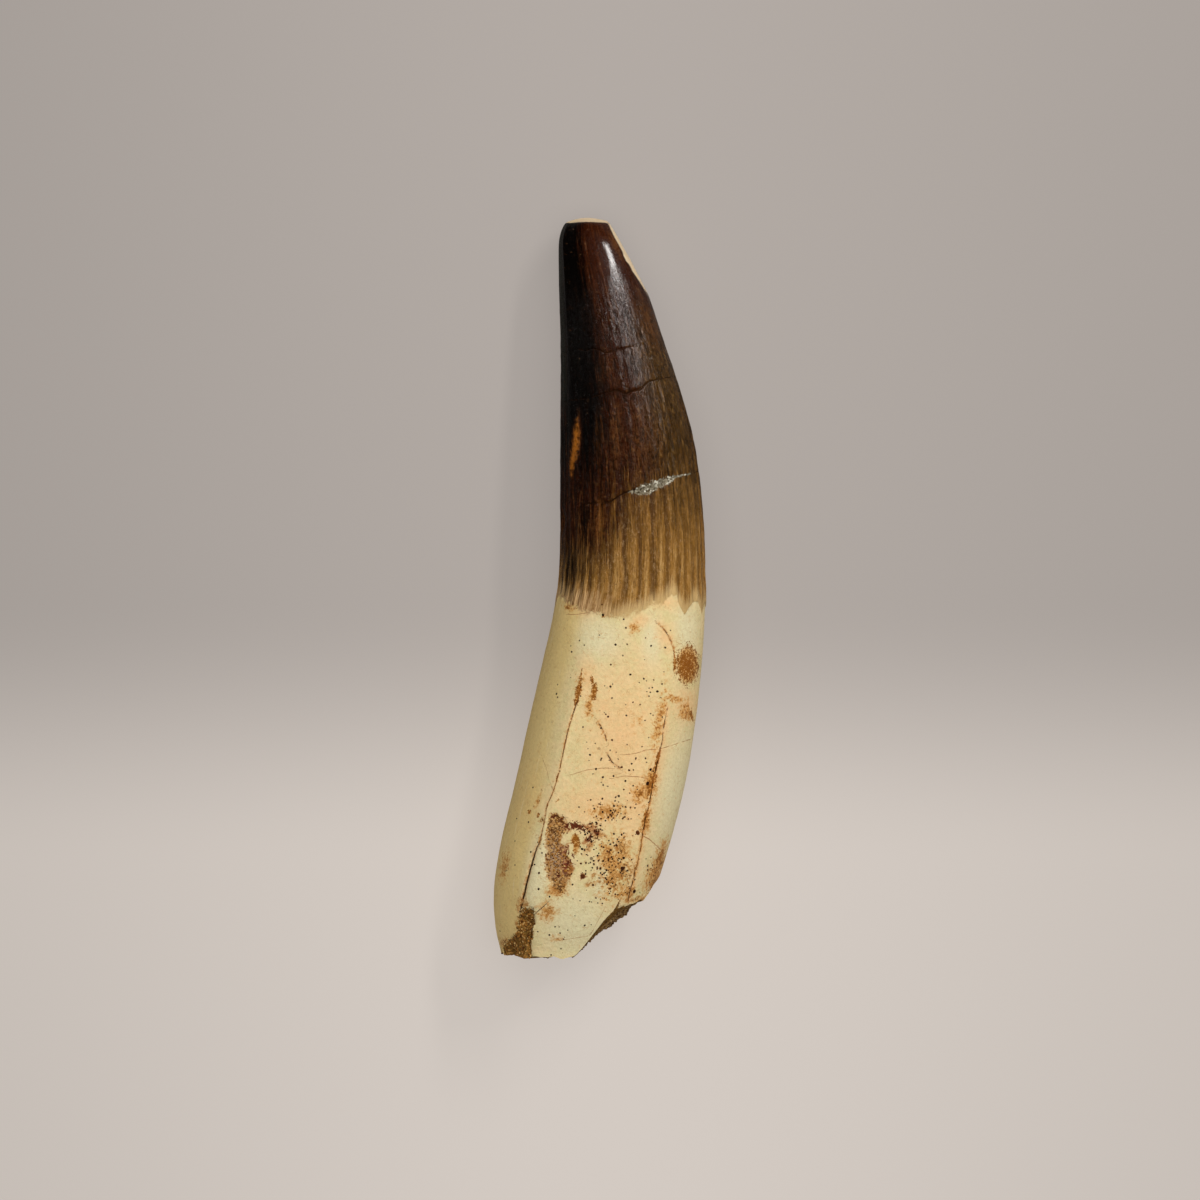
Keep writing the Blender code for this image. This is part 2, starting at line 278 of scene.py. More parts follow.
def laid(line, below=False):
    """A line of the picture laid on the tooth: points close together and widths in mm."""
    line = np.array(line, float)
    lengths = np.append(0.0, np.cumsum(np.hypot(np.diff(line[:, 0]), np.diff(line[:, 1]))))
    along = np.linspace(0.0, lengths[-1], max(2, int(lengths[-1] / LAYING_STEP)))
    across, down, width = (np.interp(along, lengths, line[:, i]) for i in range(3))
    points, widths = [], []
    for x, y, w in zip(across, down, width):
        if below:
            half = PICTURE_SIZE / 2
            start = (AIM[0] + (x - half) * PIXEL, AIM[1] + (half - y) * PIXEL, -FAR)
            met = cad_tooth.ray_cast(start, (0, 0, 1))[0]
        else:
            met = cad_tooth.ray_cast(eye, sight(x, y))[0]
        if met is not None:
            points.append(met)
            widths.append(w * PIXEL)
    return np.array(points), np.array(widths)


# The fine mesh of the tooth. Rows run from the worn tip to the broken end, over the
# thickness of the wall and into the pulp cavity; columns run round it. Both bend to
# follow the cracks and stand closer together there, so that the cracks are true grooves.
COLUMN_STEP = 1.5
CROWN_ROW_STEP = 0.31
ROOT_ROW_STEP = 0.37
CROWN_LENGTH = 55.4
STRETCHED_FROM = 85.0
TIP_EDGE, TIP_SLANT, TIP_SHOULDERS = 0.47, 0.42, 0.38
CAP_SIZES = (0.96, 0.88, 0.74, 0.55, 0.3)
CAP_RISE = 0.13
RIM_ROWS = 7
CAVITY_ROWS = 9
CAVITY_TOP = 86.0
WEAR_NORMAL = np.array((0.874, 0.487, 0.09))
WEAR_NEAR_TIP = 8.0
NOTCH_FROM, NOTCH_TO = 114.0, 173.0
NOTCH_REACH = 15.0
NOTCH_BELOW = 94.0
NOTCH_DEPTH = 0.8
NOTCH_WALL = 0.22
NOTCH = (
    (534, 914), (532, 909.5), (531, 906), (529, 909), (526, 907.5), (523, 910), (520, 914),
    (518, 919.5), (518, 926), (516.5, 932), (512.5, 936.5), (508, 940), (504, 945.5), (500, 950),
    (495, 954), (496, 962), (534, 962), (531, 952), (530, 943), (533, 936), (532.3, 928.5),
    (535.3, 923.7),
)
CHIPPING = 0.16
BEND_LENGTH, BEND_TURN = 5.0, 16.0
CHIPS = np.random.default_rng(7)


def crowded(start, end, step, thick, closer, reach):
    """Places from start to end, a step apart, and closer together near the thick ones."""
    fine = np.linspace(start, end, 6000)
    density = np.ones(len(fine))
    for middle in thick:
        density += closer * np.exp(-(((fine - middle) / reach) ** 2))
    count = np.append(0.0, np.cumsum((density[1:] + density[:-1]) / 2 * np.diff(fine))) / step
    steps = round(count[-1])
    return np.interp(np.arange(steps + 1) * count[-1] / steps, count, fine)


def turn_between(angle, other):
    """The degrees from one angle to another, the short way round."""
    return np.abs((angle - other + 180) % 360 - 180)


def along_tooth(line):
    """A crack down the root as its distances from the tip and the angles there."""
    points, _ = laid(line)
    order = np.argsort(tip_y - points[:, 1])
    return (tip_y - points[:, 1])[order], angle_of(points)[order]


def round_tooth(line):
    """A crack across the crown as its angles and the distances from the tip there."""
    points, _ = laid(line)
    order = np.argsort(angle_of(points))
    return angle_of(points)[order], (tip_y - points[:, 1])[order]


root_cracks = [along_tooth(LEFT_CRACK), along_tooth(RIGHT_CRACK)]
crown_cracks = [
    round_tooth(UPPER_CROWN_CRACK), round_tooth(MIDDLE_CROWN_CRACK), round_tooth(LOWER_CROWN_CRACK),
]
crack_angles = [angles.mean() for _, angles in root_cracks]
crack_stations = [stations.mean() for _, stations in crown_cracks]

columns = crowded(0.0, 360.0, COLUMN_STEP, crack_angles, closer=3.2, reach=1.7)[:-1]
crown_rows = crowded(0.0, CROWN_LENGTH, CROWN_ROW_STEP, crack_stations, closer=1.6, reach=0.6)
root_rows = crowded(CROWN_LENGTH, tooth_length, ROOT_ROW_STEP, [], closer=0, reach=1)[1:]
rows = np.concatenate([crown_rows, root_rows])[:, None]

from_tip = np.broadcast_to(rows, (len(rows), len(columns))).copy()
for (angles, distances), middle in zip(crown_cracks, crack_stations):
    aside = np.interp(columns, angles, distances - middle)
    aside = aside * (1 - fade(turn_between(columns, 90), 90, 140))
    from_tip += aside * np.exp(-(((rows - middle) / BEND_LENGTH) ** 2))
angle = np.broadcast_to(columns, from_tip.shape).copy()
for (distances, angles), middle in zip(root_cracks, crack_angles):
    aside = np.interp(from_tip, distances, angles - middle)
    aside = aside * fade(from_tip, distances[0] - 12, distances[0])
    angle += aside * np.exp(-(((columns - middle) / BEND_TURN) ** 2))

# The wall's broken end: found column by column, then chipped a little.
end_angles = angle[-1]
outer_end = np.array([wall_end(a) for a in end_angles])
inner_end = np.array([wall_end(a, inside=True) for a in end_angles])
inner_wall_end = inner_end.copy()
in_notch = (end_angles > NOTCH_FROM) & (end_angles < NOTCH_TO)
for ends in (outer_end, inner_end):
    ends[in_notch] = np.interp(end_angles[in_notch], end_angles[~in_notch], ends[~in_notch])
chips = evened(CHIPS.normal(0, 1, len(columns)), 1.2, closed=True)
outer_end = np.minimum(outer_end - CHIPPING * np.abs(chips), tooth_length)
inner_end = np.minimum(inner_end - CHIPPING * np.roll(np.abs(chips), 5), tooth_length)
stretch = (from_tip - STRETCHED_FROM) / (tooth_length - STRETCHED_FROM)
from_tip = np.where(stretch > 0, STRETCHED_FROM + stretch * (outer_end - STRETCHED_FROM), from_tip)
column_turn = np.radians(columns)
tip_edge = TIP_EDGE + TIP_SLANT * np.sin(column_turn) + TIP_SHOULDERS * np.cos(column_turn) ** 2
from_tip = from_tip + tip_edge * np.clip(1 - from_tip / 4, 0, 1)

share = share_at(from_tip, angle)
share *= 1 - 0.06 * np.exp(-(from_tip - tip_edge) / 0.35)
outer = place(from_tip, angle, share)

# The flat that wear left on the right of the tip.
near_tip = np.array([v.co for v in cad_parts["tooth"].data.vertices]) / MM
near_tip = near_tip[near_tip[:, 1] > tip_y - WEAR_NEAR_TIP]
wear_offset = (near_tip @ WEAR_NORMAL).max()
above_wear = outer @ WEAR_NORMAL - wear_offset
outer[..., 0] -= np.maximum(above_wear, 0) / WEAR_NORMAL[0]
wear_depth = -above_wear


def in_outline(outline, across, down):
    """Distance in pixels from an outline in the picture, positive inside it."""
    corners = np.array(outline, float)
    inside = np.zeros(across.shape, bool)
    nearest = np.full(across.shape, 999.0)
    for (ax, ay), (bx, by) in zip(corners, np.roll(corners, -1, axis=0)):
        inside ^= ((ay > down) != (by > down)) & (across < (bx - ax) * (down - ay) / (by - ay + 1e-9) + ax)
        t = ((across - ax) * (bx - ax) + (down - ay) * (by - ay)) / ((bx - ax) ** 2 + (by - ay) ** 2)
        t = np.clip(t, 0, 1)
        nearest = np.minimum(nearest, np.hypot(across - ax - t * (bx - ax), down - ay - t * (by - ay)))
    return np.where(inside, nearest, -nearest)


# The notch in the upper wall is sunk to the depth at which the sandstone lies.
notch_inside = in_outline(NOTCH, *pixels_of(outer))
notch_inside = np.where((np.sin(np.radians(angle)) > 0.2) & (from_tip > NOTCH_BELOW), notch_inside, -FAR)
towards_middle = place(from_tip, angle, 0.0) - outer
towards_middle /= np.linalg.norm(towards_middle, axis=-1, keepdims=True)
outer += towards_middle * (NOTCH_DEPTH * fade(notch_inside, -0.5, 5.0))[..., None]

# The worn end of the tip, the broken wall and the cavity.
tip_middle = outer[0].mean(axis=0)
cap = [tip_middle + (outer[0] - tip_middle) * size + (0, CAP_RISE * (1 - size**2), 0) for size in CAP_SIZES]


def inner_shares(stations):
    """Shares of the cavity's wall, measured no farther than the wall reaches and kept
    under the floor of the notch."""
    reached = np.minimum(stations, inner_wall_end - 0.2)
    measured = np.array([wall_share(s, a, inside=True)[0] for s, a in zip(reached, end_angles)])
    under_skin = np.minimum(measured, share_at(reached, end_angles) - NOTCH_WALL)
    near_notch = (end_angles > NOTCH_FROM - NOTCH_REACH) & (end_angles < NOTCH_TO + NOTCH_REACH)
    return np.where(near_notch, under_skin, measured)


inner_rim = place(inner_end, end_angles, inner_shares(inner_end))
rim = [outer[-1] + (inner_rim - outer[-1]) * t for t in np.linspace(0, 1, RIM_ROWS + 2)[1:-1]]
cavity = []
for depth in (1 - np.linspace(0, 0.85, CAVITY_ROWS)) ** 2:
    stations = CAVITY_TOP + (inner_end - CAVITY_TOP) * depth
    cavity.append(place(stations, end_angles, inner_shares(stations)))
cavity_pole = place(CAVITY_TOP, 0.0, 0.0)
tip_pole = tip_middle + (0, CAP_RISE, 0)

tooth_points = np.concatenate([np.array(cap[::-1]), outer, np.array(rim), np.array(cavity)])
cap_rows, outer_rows = len(cap), len(outer)
grid_shape = tooth_points.shape[:2]


def over_grid(outer_values, before, after):
    """Values of the outer rows, with one value for the rows before and one for those after."""
    values = np.full(grid_shape, after, float)
    values[:cap_rows] = before
    values[cap_rows:cap_rows + outer_rows] = outer_values
    return values.ravel()


def net_mesh(name, points, first_pole, last_pole):
    """A closed mesh of rows of points, each row a ring, with a point at either end."""
    row_count, ring = points.shape[:2]
    vertices = np.concatenate([points.reshape(-1, 3), [first_pole, last_pole]]) * MM
    index = np.arange(row_count * ring).reshape(row_count, ring)
    after = np.roll(index, -1, axis=1)
    quads = np.stack([index[:-1], after[:-1], after[1:], index[1:]], axis=-1).reshape(-1, 4)
    faces = quads.tolist()
    poles = row_count * ring, row_count * ring + 1
    faces += [(poles[0], b, a) for a, b in zip(index[0].tolist(), after[0].tolist())]
    faces += [(poles[1], a, b) for a, b in zip(index[-1].tolist(), after[-1].tolist())]
    mesh = bpy.data.meshes.new(name)
    mesh.from_pydata(vertices.tolist(), [], faces)
    return mesh


tooth_mesh = net_mesh("fossil_tooth", tooth_points, tip_pole, cavity_pole)
points = np.concatenate([tooth_points.reshape(-1, 3), [tip_pole, cavity_pole]])
normals = np.zeros(len(points) * 3, np.float32)
tooth_mesh.vertex_normals.foreach_get("vector", normals)
normals = normals.reshape(-1, 3)
if (normals * (points - points.mean(axis=0)))[:, 2].mean() < 0:
    tooth_mesh.flip_normals()
    normals = -normals


def with_poles(values, first, last):
    """Values of the mesh's rows, and those of its first and last point."""
    return np.append(values, (first, last))


tip_distance = tip_y - points[:, 1]
round_angle = with_poles(over_grid(angle, end_angles[None, :], end_angles[None, :]), 0.0, 0.0)
past_wall = with_poles(over_grid(0.0, 0.0, 1.0), 0.0, 1.0)
capped = with_poles(over_grid(0.0, 1.0, 0.0), 1.0, 0.0)
worn = with_poles(over_grid(wear_depth, 9.0, 9.0), 9.0, 9.0)
across, down = pixels_of(points)
notch_seen = fade(in_outline(NOTCH, across, down), -3.5, 3.5) * (tip_distance > NOTCH_BELOW)
notch_seen *= np.sin(np.radians(round_angle)) > 0.05
broken = np.maximum(past_wall, notch_seen * (1 - past_wall) * (1 - capped))
upward, downward = fade(normals[:, 2], -0.1, 0.15), fade(-normals[:, 2], -0.1, 0.15)


# Ways to lay marks on the mesh: along a line, as a blot or as a patch. A blot is 1 in
# its middle, a half at its rim and 0 at twice its size, so a material can give it a
# ragged rim; a patch likewise is a half along its outline.
LINE_REACH = 1.4
WANDER = 0.35
RAGGED = np.random.default_rng(11)


def distances_to(laid_line):
    """Signed distances of the mesh's points from a laid line, and its width beside them."""
    line, widths = laid_line
    wander = evened(RAGGED.normal(0, 1, len(line)), 1.5) * WANDER * PIXEL
    line = line + np.stack([wander, 0 * wander, 0 * wander], axis=-1)
    low, high = line.min(axis=0) - LINE_REACH, line.max(axis=0) + LINE_REACH
    near = np.flatnonzero(((points > low) & (points < high)).all(axis=1))
    here = points[near]
    best = np.full(len(near), FAR)
    side = np.ones(len(near))
    width = np.zeros(len(near))
    for a, b, first, last in zip(line[:-1], line[1:], widths[:-1], widths[1:]):
        span = b - a
        t = np.clip((here - a) @ span / max(span @ span, 1e-9), 0, 1)
        away = here - a - t[:, None] * span
        length = np.linalg.norm(away, axis=1)
        closer = length < best
        best[closer] = length[closer]
        side[closer] = np.sign(span[0] * away[closer, 1] - span[1] * away[closer, 0] + 1e-12)
        width[closer] = (first + (last - first) * t)[closer]
    distance = np.full(len(points), FAR)
    wide = np.zeros(len(points))
    distance[near] = best * side
    wide[near] = width
    return distance, wide


def join_lines(lines):
    """One pair of fields for several laid lines: signed distance and half width, in mm."""
    distance = np.full(len(points), FAR)
    half_width = np.zeros(len(points))
    for line in lines:
        away, wide = distances_to(line)
        nearer = (np.abs(away) < np.abs(distance)) & (np.abs(away) < LINE_REACH * 0.8)
        distance[nearer] = away[nearer]
        half_width[nearer] = wide[nearer] / 2
    half_width *= 1 - fade(np.abs(distance), LINE_REACH * 0.35, LINE_REACH * 0.7)
    return np.clip(distance, -LINE_REACH, LINE_REACH), half_width


def trail(line, reach, below=False):
    """1 along a line of the picture, fading to nothing over a reach in pixels."""
    away, _ = distances_to(laid([(*spot[:2], 1.0) for spot in line], below))
    return np.exp(-((away / (reach * PIXEL)) ** 2))


def blot(x, y, wide, high, turn=0.0, below=False):
    """An oval mark by its middle and half sizes in the picture, turned by degrees."""
    c, s = math.cos(math.radians(turn)), math.sin(math.radians(turn))
    u = ((across - x) * c + (down - y) * s) / wide
    v = ((down - y) * c - (across - x) * s) / high
    facing = downward if below else upward
    return facing * np.clip(1 - 0.5 * np.hypot(u, v), 0, 1)


def patch(outline, reach, below=False):
    """A mark with this outline in the picture, its rim spread over a reach in pixels."""
    facing = downward if below else upward
    return facing * np.clip(0.5 + 0.5 * in_outline(outline, across, down) / reach, 0, 1)


def strongest(*fields):
    return np.maximum.reduce(fields)


# The enamel. A glossy dark skin a tenth of a millimetre thick covers the crown. It ends
# in a ragged edge at the root, and is worn through at the tip and on the flat beside it.
ENAMEL_EDGE = (
    (559, 594), (566, 602), (575, 607), (585, 612), (593, 612.5), (602, 615), (610, 618), (615, 618.5),
    (621, 617), (629, 616), (637, 613), (646, 608), (653, 605), (659, 605.5), (664, 603), (670, 596.5),
    (677, 595), (679, 603), (682, 610), (685, 615), (687, 611), (689, 608), (693.5, 602), (698, 601),
    (700, 606), (702, 614), (703.5, 608),
)
ENAMEL_THICKNESS = 0.12
WORN_STRIP = (
    (0, 0.16), (1.5, 0.13), (3.0, 0.17), (5.2, 0.15), (6.2, 0.34), (6.7, 0.30), (7.2, 0.20),
    (7.9, 0.26), (8.6, 0.20), (9.4, 0.13), (11.0, 0.08), (13.0, 0.05), (17.0, 0.03), (18.5, -0.5),
)
TIP_BARE = 0.05

edge_points, _ = laid([(*spot, 1.0) for spot in ENAMEL_EDGE])
edge_angles = angle_of(edge_points)
edge_order = np.argsort(edge_angles)
seen_angles, seen_edge = edge_angles[edge_order], (tip_y - edge_points[:, 1])[edge_order]
unseen_angles = np.arange(seen_angles[-1] + 3, seen_angles[0] + 357, 1.5)
unseen_turn = np.radians(unseen_angles)
unseen_edge = (
    55.0 + 0.5 * np.sin(3 * unseen_turn) + 0.35 * np.sin(11 * unseen_turn + 1)
    + 0.25 * np.sin(29 * unseen_turn)
)
all_angles = np.append(seen_angles, unseen_angles)
all_edges = np.append(seen_edge, unseen_edge)
enamel_ends = np.interp(round_angle % 360.0, all_angles, all_edges, period=360.0)
enamel_inside = enamel_ends - tip_distance
strip = np.interp(tip_distance, *np.array(WORN_STRIP).T)
enamel_inside = np.minimum(enamel_inside, worn - strip)
below_tip_edge = over_grid(from_tip - tip_edge, -TIP_BARE * 4, 9.0)
enamel_inside = np.minimum(enamel_inside, with_poles(below_tip_edge, -1.0, 0.0) - TIP_BARE)
enamel_inside = np.where(broken > 0.02, -1.0, enamel_inside)
enamel_inside = np.clip(enamel_inside, -1.5, 3.5)

# Flutes of the crown. In the picture their ridges stand 8 to 14 pixels apart; round the
# back they keep the even spacing of the CAD tooth.
RIDGE_ANGLES = (0, 10, 19, 28, 37, 46, 54, 66.5, 79, 88.4, 102.3, 113, 121.3, 130, 140, 150)
RIDGES_BEYOND = 21
ridge_angles = np.append(RIDGE_ANGLES, 150 + 210 * np.arange(1, RIDGES_BEYOND + 1) / RIDGES_BEYOND)
ridge_count = np.interp(round_angle % 360.0, ridge_angles, np.arange(len(ridge_angles)))
KEEL_ANGLES = (145.0, 325.0)
KEEL_HALF_WIDTH = 5.0
keel = sum(np.clip(1 - turn_between(round_angle, middle) / KEEL_HALF_WIDTH, 0, 1) for middle in KEEL_ANGLES)
keel = keel * (1 - fade(tip_distance, 39.0, 47.0)) * (1 - capped) * fade(tip_distance, 1.0, 4.0)

# Cracks, chips and flaked places, as heights in millimetres to be cut into the surface.
HAIRLINES = (
    (
        (623, 755, 0.5), (636, 753.5, 0.8), (646, 750, 0.8), (660, 749, 0.9), (674, 745, 0.9),
        (691.5, 739, 0.8),
    ),
    ((571, 775, 0.6), (586, 770, 0.7), (604, 768, 0.7), (620, 769, 0.6)),
    ((611, 779, 0.6), (624, 776, 0.8), (640, 777, 0.8), (649, 779, 0.7)),
    ((567, 614, 0.9), (576, 614.5, 0.9), (586, 613, 0.8)),
    ((643, 836, 1.2), (650, 839.5, 1.4), (656, 845, 1.3), (661, 850, 1.2), (663, 853, 1.0)),
    ((558, 941, 0.5), (590, 936, 0.5), (607, 905, 0.4)),
    ((553, 791, 0.7), (549, 780, 0.6), (546, 768, 0.5), (541, 755, 0.4)),
)
SHORT_CRACKS = (
    ((607, 753, 0.8), (609, 757, 1.0), (611, 761, 1.0), (615, 765, 0.9), (619, 767, 0.7)),
    ((658, 624, 0.6), (664, 629, 0.8), (670, 638, 0.9), (674, 648.5, 0.8), (675, 660, 0.6)),
    ((597, 720.5, 0.6), (600.5, 726, 0.8), (605, 735, 0.7), (607, 742, 0.6)),
    ((535, 913.5, 0.7), (541, 909, 0.7), (547, 904, 0.6)),
)
UNDER_CRACKS = (
    ((600, 640, 0.8), (597, 690, 1.4), (588, 740, 1.8), (580, 800, 1.6), (566, 860, 2.0), (560, 905, 2.2)),
    ((660, 650, 0.7), (655, 700, 1.2), (640, 770, 1.4), (622, 840, 1.2), (612, 880, 0.9)),
    ((566, 352, 1.0), (585, 356, 2.0), (612, 353, 1.8), (640, 348, 1.2)),
    ((570, 470, 1.0), (600, 476, 2.0), (640, 470, 1.8), (680, 474, 1.0)),
)
CALCITE = (
    (630, 492, 2), (636, 491.5, 5), (641, 490.5, 8), (646, 489, 9), (651, 487.5, 10), (656, 485, 7.5),
    (661, 483, 7.5), (667, 480.5, 6.5), (672, 478.5, 5), (675, 477, 2), (681, 475.5, 1.2), (690, 474, 1.4),
)
left_line, right_line = laid(LEFT_CRACK), laid(RIGHT_CRACK)
crack_away, crack_half = join_lines(
    [left_line, right_line]
    + [laid(line) for line in (UPPER_CROWN_CRACK, MIDDLE_CROWN_CRACK, LOWER_CROWN_CRACK)]
    + [laid(line) for line in SHORT_CRACKS]
    + [laid(line, below=True) for line in UNDER_CRACKS]
)
hair_away, hair_half = join_lines([laid(line) for line in HAIRLINES])
calcite_away, calcite_wide = distances_to(laid(CALCITE))
calcite = np.clip(1 - np.abs(calcite_away) / np.maximum(calcite_wide, 0.01), 0, 1) * (calcite_wide > 0)

SOIL_OUTLINE = (
    (549, 814), (556, 813), (562, 816), (567, 822), (570, 830), (563, 834), (561, 842), (565, 846),
    (568, 855), (571, 861), (574, 866), (573, 873), (567, 884), (563, 894.6), (556.5, 896.7),
    (552, 891), (551.6, 882), (547, 880), (546, 875), (544, 864), (545.5, 854), (546, 833), (547, 820),
)
soil_patch = patch(SOIL_OUTLINE, 4.0)
left_away, _ = distances_to(left_line)
lip = band(down, 640, 660, 752, 775) * np.exp(-(((left_away - 0.22) / 0.2) ** 2))
slab = band(down, 690, 760, 840, 900) * fade(-left_away, 0.0, 0.12) * fade(left_away, -1.3, -0.2)
left_chip = blot(560, 521, 5, 12)
right_nick = blot(705, 572, 3, 10)

soft_edge = band(round_angle, 46, 74, 225, 250) * fade(tip_distance, 46, 50)
groove_depth = np.minimum(2.4 * crack_half, 0.30) * (1 - 0.45 * fade(enamel_inside, -0.1, 0.1))
groove = groove_depth * np.exp(-((crack_away / np.maximum(1.25 * crack_half, 0.05)) ** 2))
edge_step = np.tanh(enamel_inside / 0.15) * np.exp(-np.abs(enamel_inside) / 1.4)
relief = (
    -groove
    + 0.32 * ENAMEL_THICKNESS * edge_step * (1 - capped) * (1 - 0.75 * soft_edge)
    + 0.09 * lip
    - 0.05 * slab
    - 0.16 * fade(soil_patch, 0.42, 0.56)
    - 0.22 * fade(calcite, 0.3, 0.8)
    - 0.55 * fade(left_chip, 0.2, 0.9)
    - 0.25 * fade(right_nick, 0.2, 0.9)
)

# Stains. Iron left orange-brown spots, streaks along the cracks and a dark crust of
# soil on the root; all are only colour, apart from the crust's grains.
iron = strongest(
    blot(688, 665, 9.0, 16), 0.75 * blot(675, 664, 1.6, 10), 0.9 * blot(594, 692, 2.6, 8, 8),
    0.8 * blot(592, 680, 1.4, 5, -10), 0.85 * blot(578, 692, 2.6, 13, 10),
    0.7 * blot(581, 675, 1.0, 7, 4), 0.6 * blot(557, 777, 1.0, 8, 16), 0.6 * blot(547, 806, 0.9, 8, 16),
    0.8 * blot(692, 716, 1.6, 6, -18), blot(652, 783, 3.0, 11, 12), blot(646, 816, 2.2, 5),
    blot(640.5, 795, 2, 2), blot(635, 868, 1.8, 2.4), blot(657, 764, 1.6, 12, 12),
    0.9 * blot(660, 858, 2.2, 7, 25), blot(575, 839, 3.4, 4.6), blot(576.5, 845, 2.8, 4.8),
    0.9 * blot(574.5, 849, 1.6, 4), 0.8 * blot(570, 870, 2.4, 4), blot(603, 616, 1.6, 1.6),
    blot(538, 815, 1.6, 1.6), 0.8 * blot(566, 607, 3, 1.4, 20), blot(558, 800, 1.2, 1.2),
    blot(529, 812, 1.5, 2), blot(634.3, 891, 1.6, 1.6), blot(583, 876, 1.8, 2.6),
    0.8 * trail(RIGHT_CRACK[4:13], 0.9), 0.5 * trail(LEFT_CRACK[1:12], 0.6),
    0.5 * trail(RIGHT_CRACK[12:], 0.5), blot(640, 700, 14, 6, 60, below=True),
    blot(585, 760, 9, 20, 12, below=True), blot(620, 820, 12, 10, below=True),
    blot(560, 870, 10, 16, 20, below=True), blot(655, 640, 5, 6, below=True),
    0.8 * trail(UNDER_CRACKS[0], 1.6, below=True),
)
ochre = strongest(
    0.85 * blot(614, 870, 13, 26, 10), blot(608, 858, 8, 14), 0.9 * blot(622, 850, 8, 10),
    blot(624, 892, 8, 7), blot(634, 628, 4.5, 4.5), blot(686, 713, 5, 7, -20),
    0.9 * blot(677, 699, 9, 2.6, 5), blot(589, 706, 3, 9, 5), blot(640, 794, 6, 8),
    blot(650, 784, 6, 14, 12), 0.8 * blot(660, 720, 4, 30, 10), blot(646, 822, 4, 12, 10),
    0.9 * blot(608, 812, 14, 7), blot(557, 890, 9, 6), 0.9 * blot(547, 912, 8, 8, -30),
    blot(656, 872, 7, 16, 25), 0.8 * blot(662, 850, 4, 12, 20), 0.7 * blot(538, 800, 1.6, 8, 15),
    0.7 * blot(504, 866, 4, 12, 10), 0.6 * blot(557, 939, 6, 3), 0.7 * blot(570, 606, 7, 4, 20),
    0.5 * blot(638, 722, 5, 8), 0.5 * blot(580, 688, 5, 14, 8), 0.7 * trail(RIGHT_CRACK[6:], 2.2),
    0.55 * trail(LEFT_CRACK[1:], 1.2), 0.55 * trail(SHORT_CRACKS[1], 1.6),
    0.55 * trail(SHORT_CRACKS[2], 1.2),
    0.6 * trail(((592, 690), (590, 704), (588, 712), (597, 722), (603, 732), (607, 744)), 1.2),
    0.6 * trail(((668, 694), (676, 697), (682, 698), (688, 703), (692, 713), (694, 722)), 1.1),
    blot(590, 780, 14, 30, below=True), blot(640, 820, 12, 20, below=True),
    blot(560, 850, 14, 30, 10, below=True),
)
blush = strongest(
    blot(622, 735, 34, 64, 8), blot(596, 806, 36, 22), blot(636, 800, 18, 44, 8),
    blot(665, 636, 8, 14, -20), blot(588, 680, 9, 20), blot(645, 712, 7, 5), blot(604, 706, 14, 10),
    blot(640, 620, 9, 7), blot(664, 602, 14, 6), blot(575, 611, 14, 6), blot(528, 795, 10, 36, 14),
    blot(686, 706, 12, 14), blot(655, 770, 8, 40, 12), 0.8 * trail(RIGHT_CRACK, 7.0),
    0.6 * trail(LEFT_CRACK[1:], 3.5), blot(610, 700, 50, 60, below=True),
    blot(590, 850, 45, 40, below=True),
)
pale = strongest(
    blot(575, 925, 34, 34), blot(540, 870, 14, 46, 14), blot(676, 790, 18, 60, 14), blot(652, 640, 10, 24),
    blot(600, 640, 22, 20), blot(600, 884, 6, 24, 8), blot(688, 630, 12, 24), blot(545, 730, 10, 60, 15),
)
soil = strongest(
    soil_patch, blot(578, 826.5, 7, 3.2), blot(566.5, 850, 2.4, 6), blot(568.5, 867, 3.4, 6.5, 8),
    blot(575.8, 852, 2, 3.5), blot(583, 876, 3, 3), blot(586, 840, 2.4, 3.4), blot(592, 843.5, 2.6, 3),
    0.9 * blot(542, 820, 3.4, 2.6), 0.8 * blot(540, 840, 1.8, 7, 12), 0.9 * blot(590, 828, 7, 5),
    0.9 * blot(597, 834, 7, 8), 0.8 * blot(588, 846, 5, 8), 0.8 * blot(594, 876, 3.4, 5),
    0.85 * blot(587, 884, 3, 3), 0.75 * blot(608, 812, 12, 6), 0.85 * blot(620, 848, 8, 8),
    0.8 * blot(612, 880, 10, 12), 0.85 * blot(624, 872, 8, 10), 0.8 * blot(630, 893, 7, 6),
    blot(654, 884, 4, 10, 28), 0.9 * blot(662, 862, 3, 9, 20), 0.85 * blot(522, 904, 6, 6),
    0.8 * blot(505, 868, 3, 9, 12), blot(518, 925, 3, 8, 5), blot(506, 944, 6, 6),
    0.7 * blot(548, 912, 7, 6), 0.9 * blot(640, 899, 12, 3, -8), blot(600, 880, 14, 12, below=True),
    blot(540, 900, 12, 20, below=True), blot(640, 860, 10, 12, below=True),
)
soil = soil * (1 - fade(broken, 0.4, 0.6))
maroon = strongest(
    blot(578, 826.5, 11, 6), 0.8 * blot(594, 830, 6, 5), blot(566.5, 850, 5, 9), blot(568.5, 865, 6, 8, 8),
    0.7 * blot(586, 840, 5, 6), blot(583, 876, 5, 5),
)
clot = strongest(
    blot(576.5, 826, 6.5, 4, 12), blot(583, 829.5, 3, 2), blot(569, 863, 2.6, 2.8),
    blot(583, 876, 2.4, 2.8), blot(566.5, 826.5, 1.8, 4), blot(554.5, 816.5, 4, 3),
    blot(562, 818.5, 2.6, 3), 0.9 * blot(567, 852, 1.8, 6), 0.9 * blot(558, 875, 3.4, 2.4),
    blot(590.5, 838, 1.5, 3.6, 20), 0.9 * blot(597, 831, 2.4, 4), blot(524, 912, 3, 3),
    blot(531.5, 911, 2, 3), 0.9 * blot(573.5, 856, 1.4, 3), 0.8 * blot(587, 839, 1.6, 3),
)
grey = blot(553, 860, 8, 15, -5)
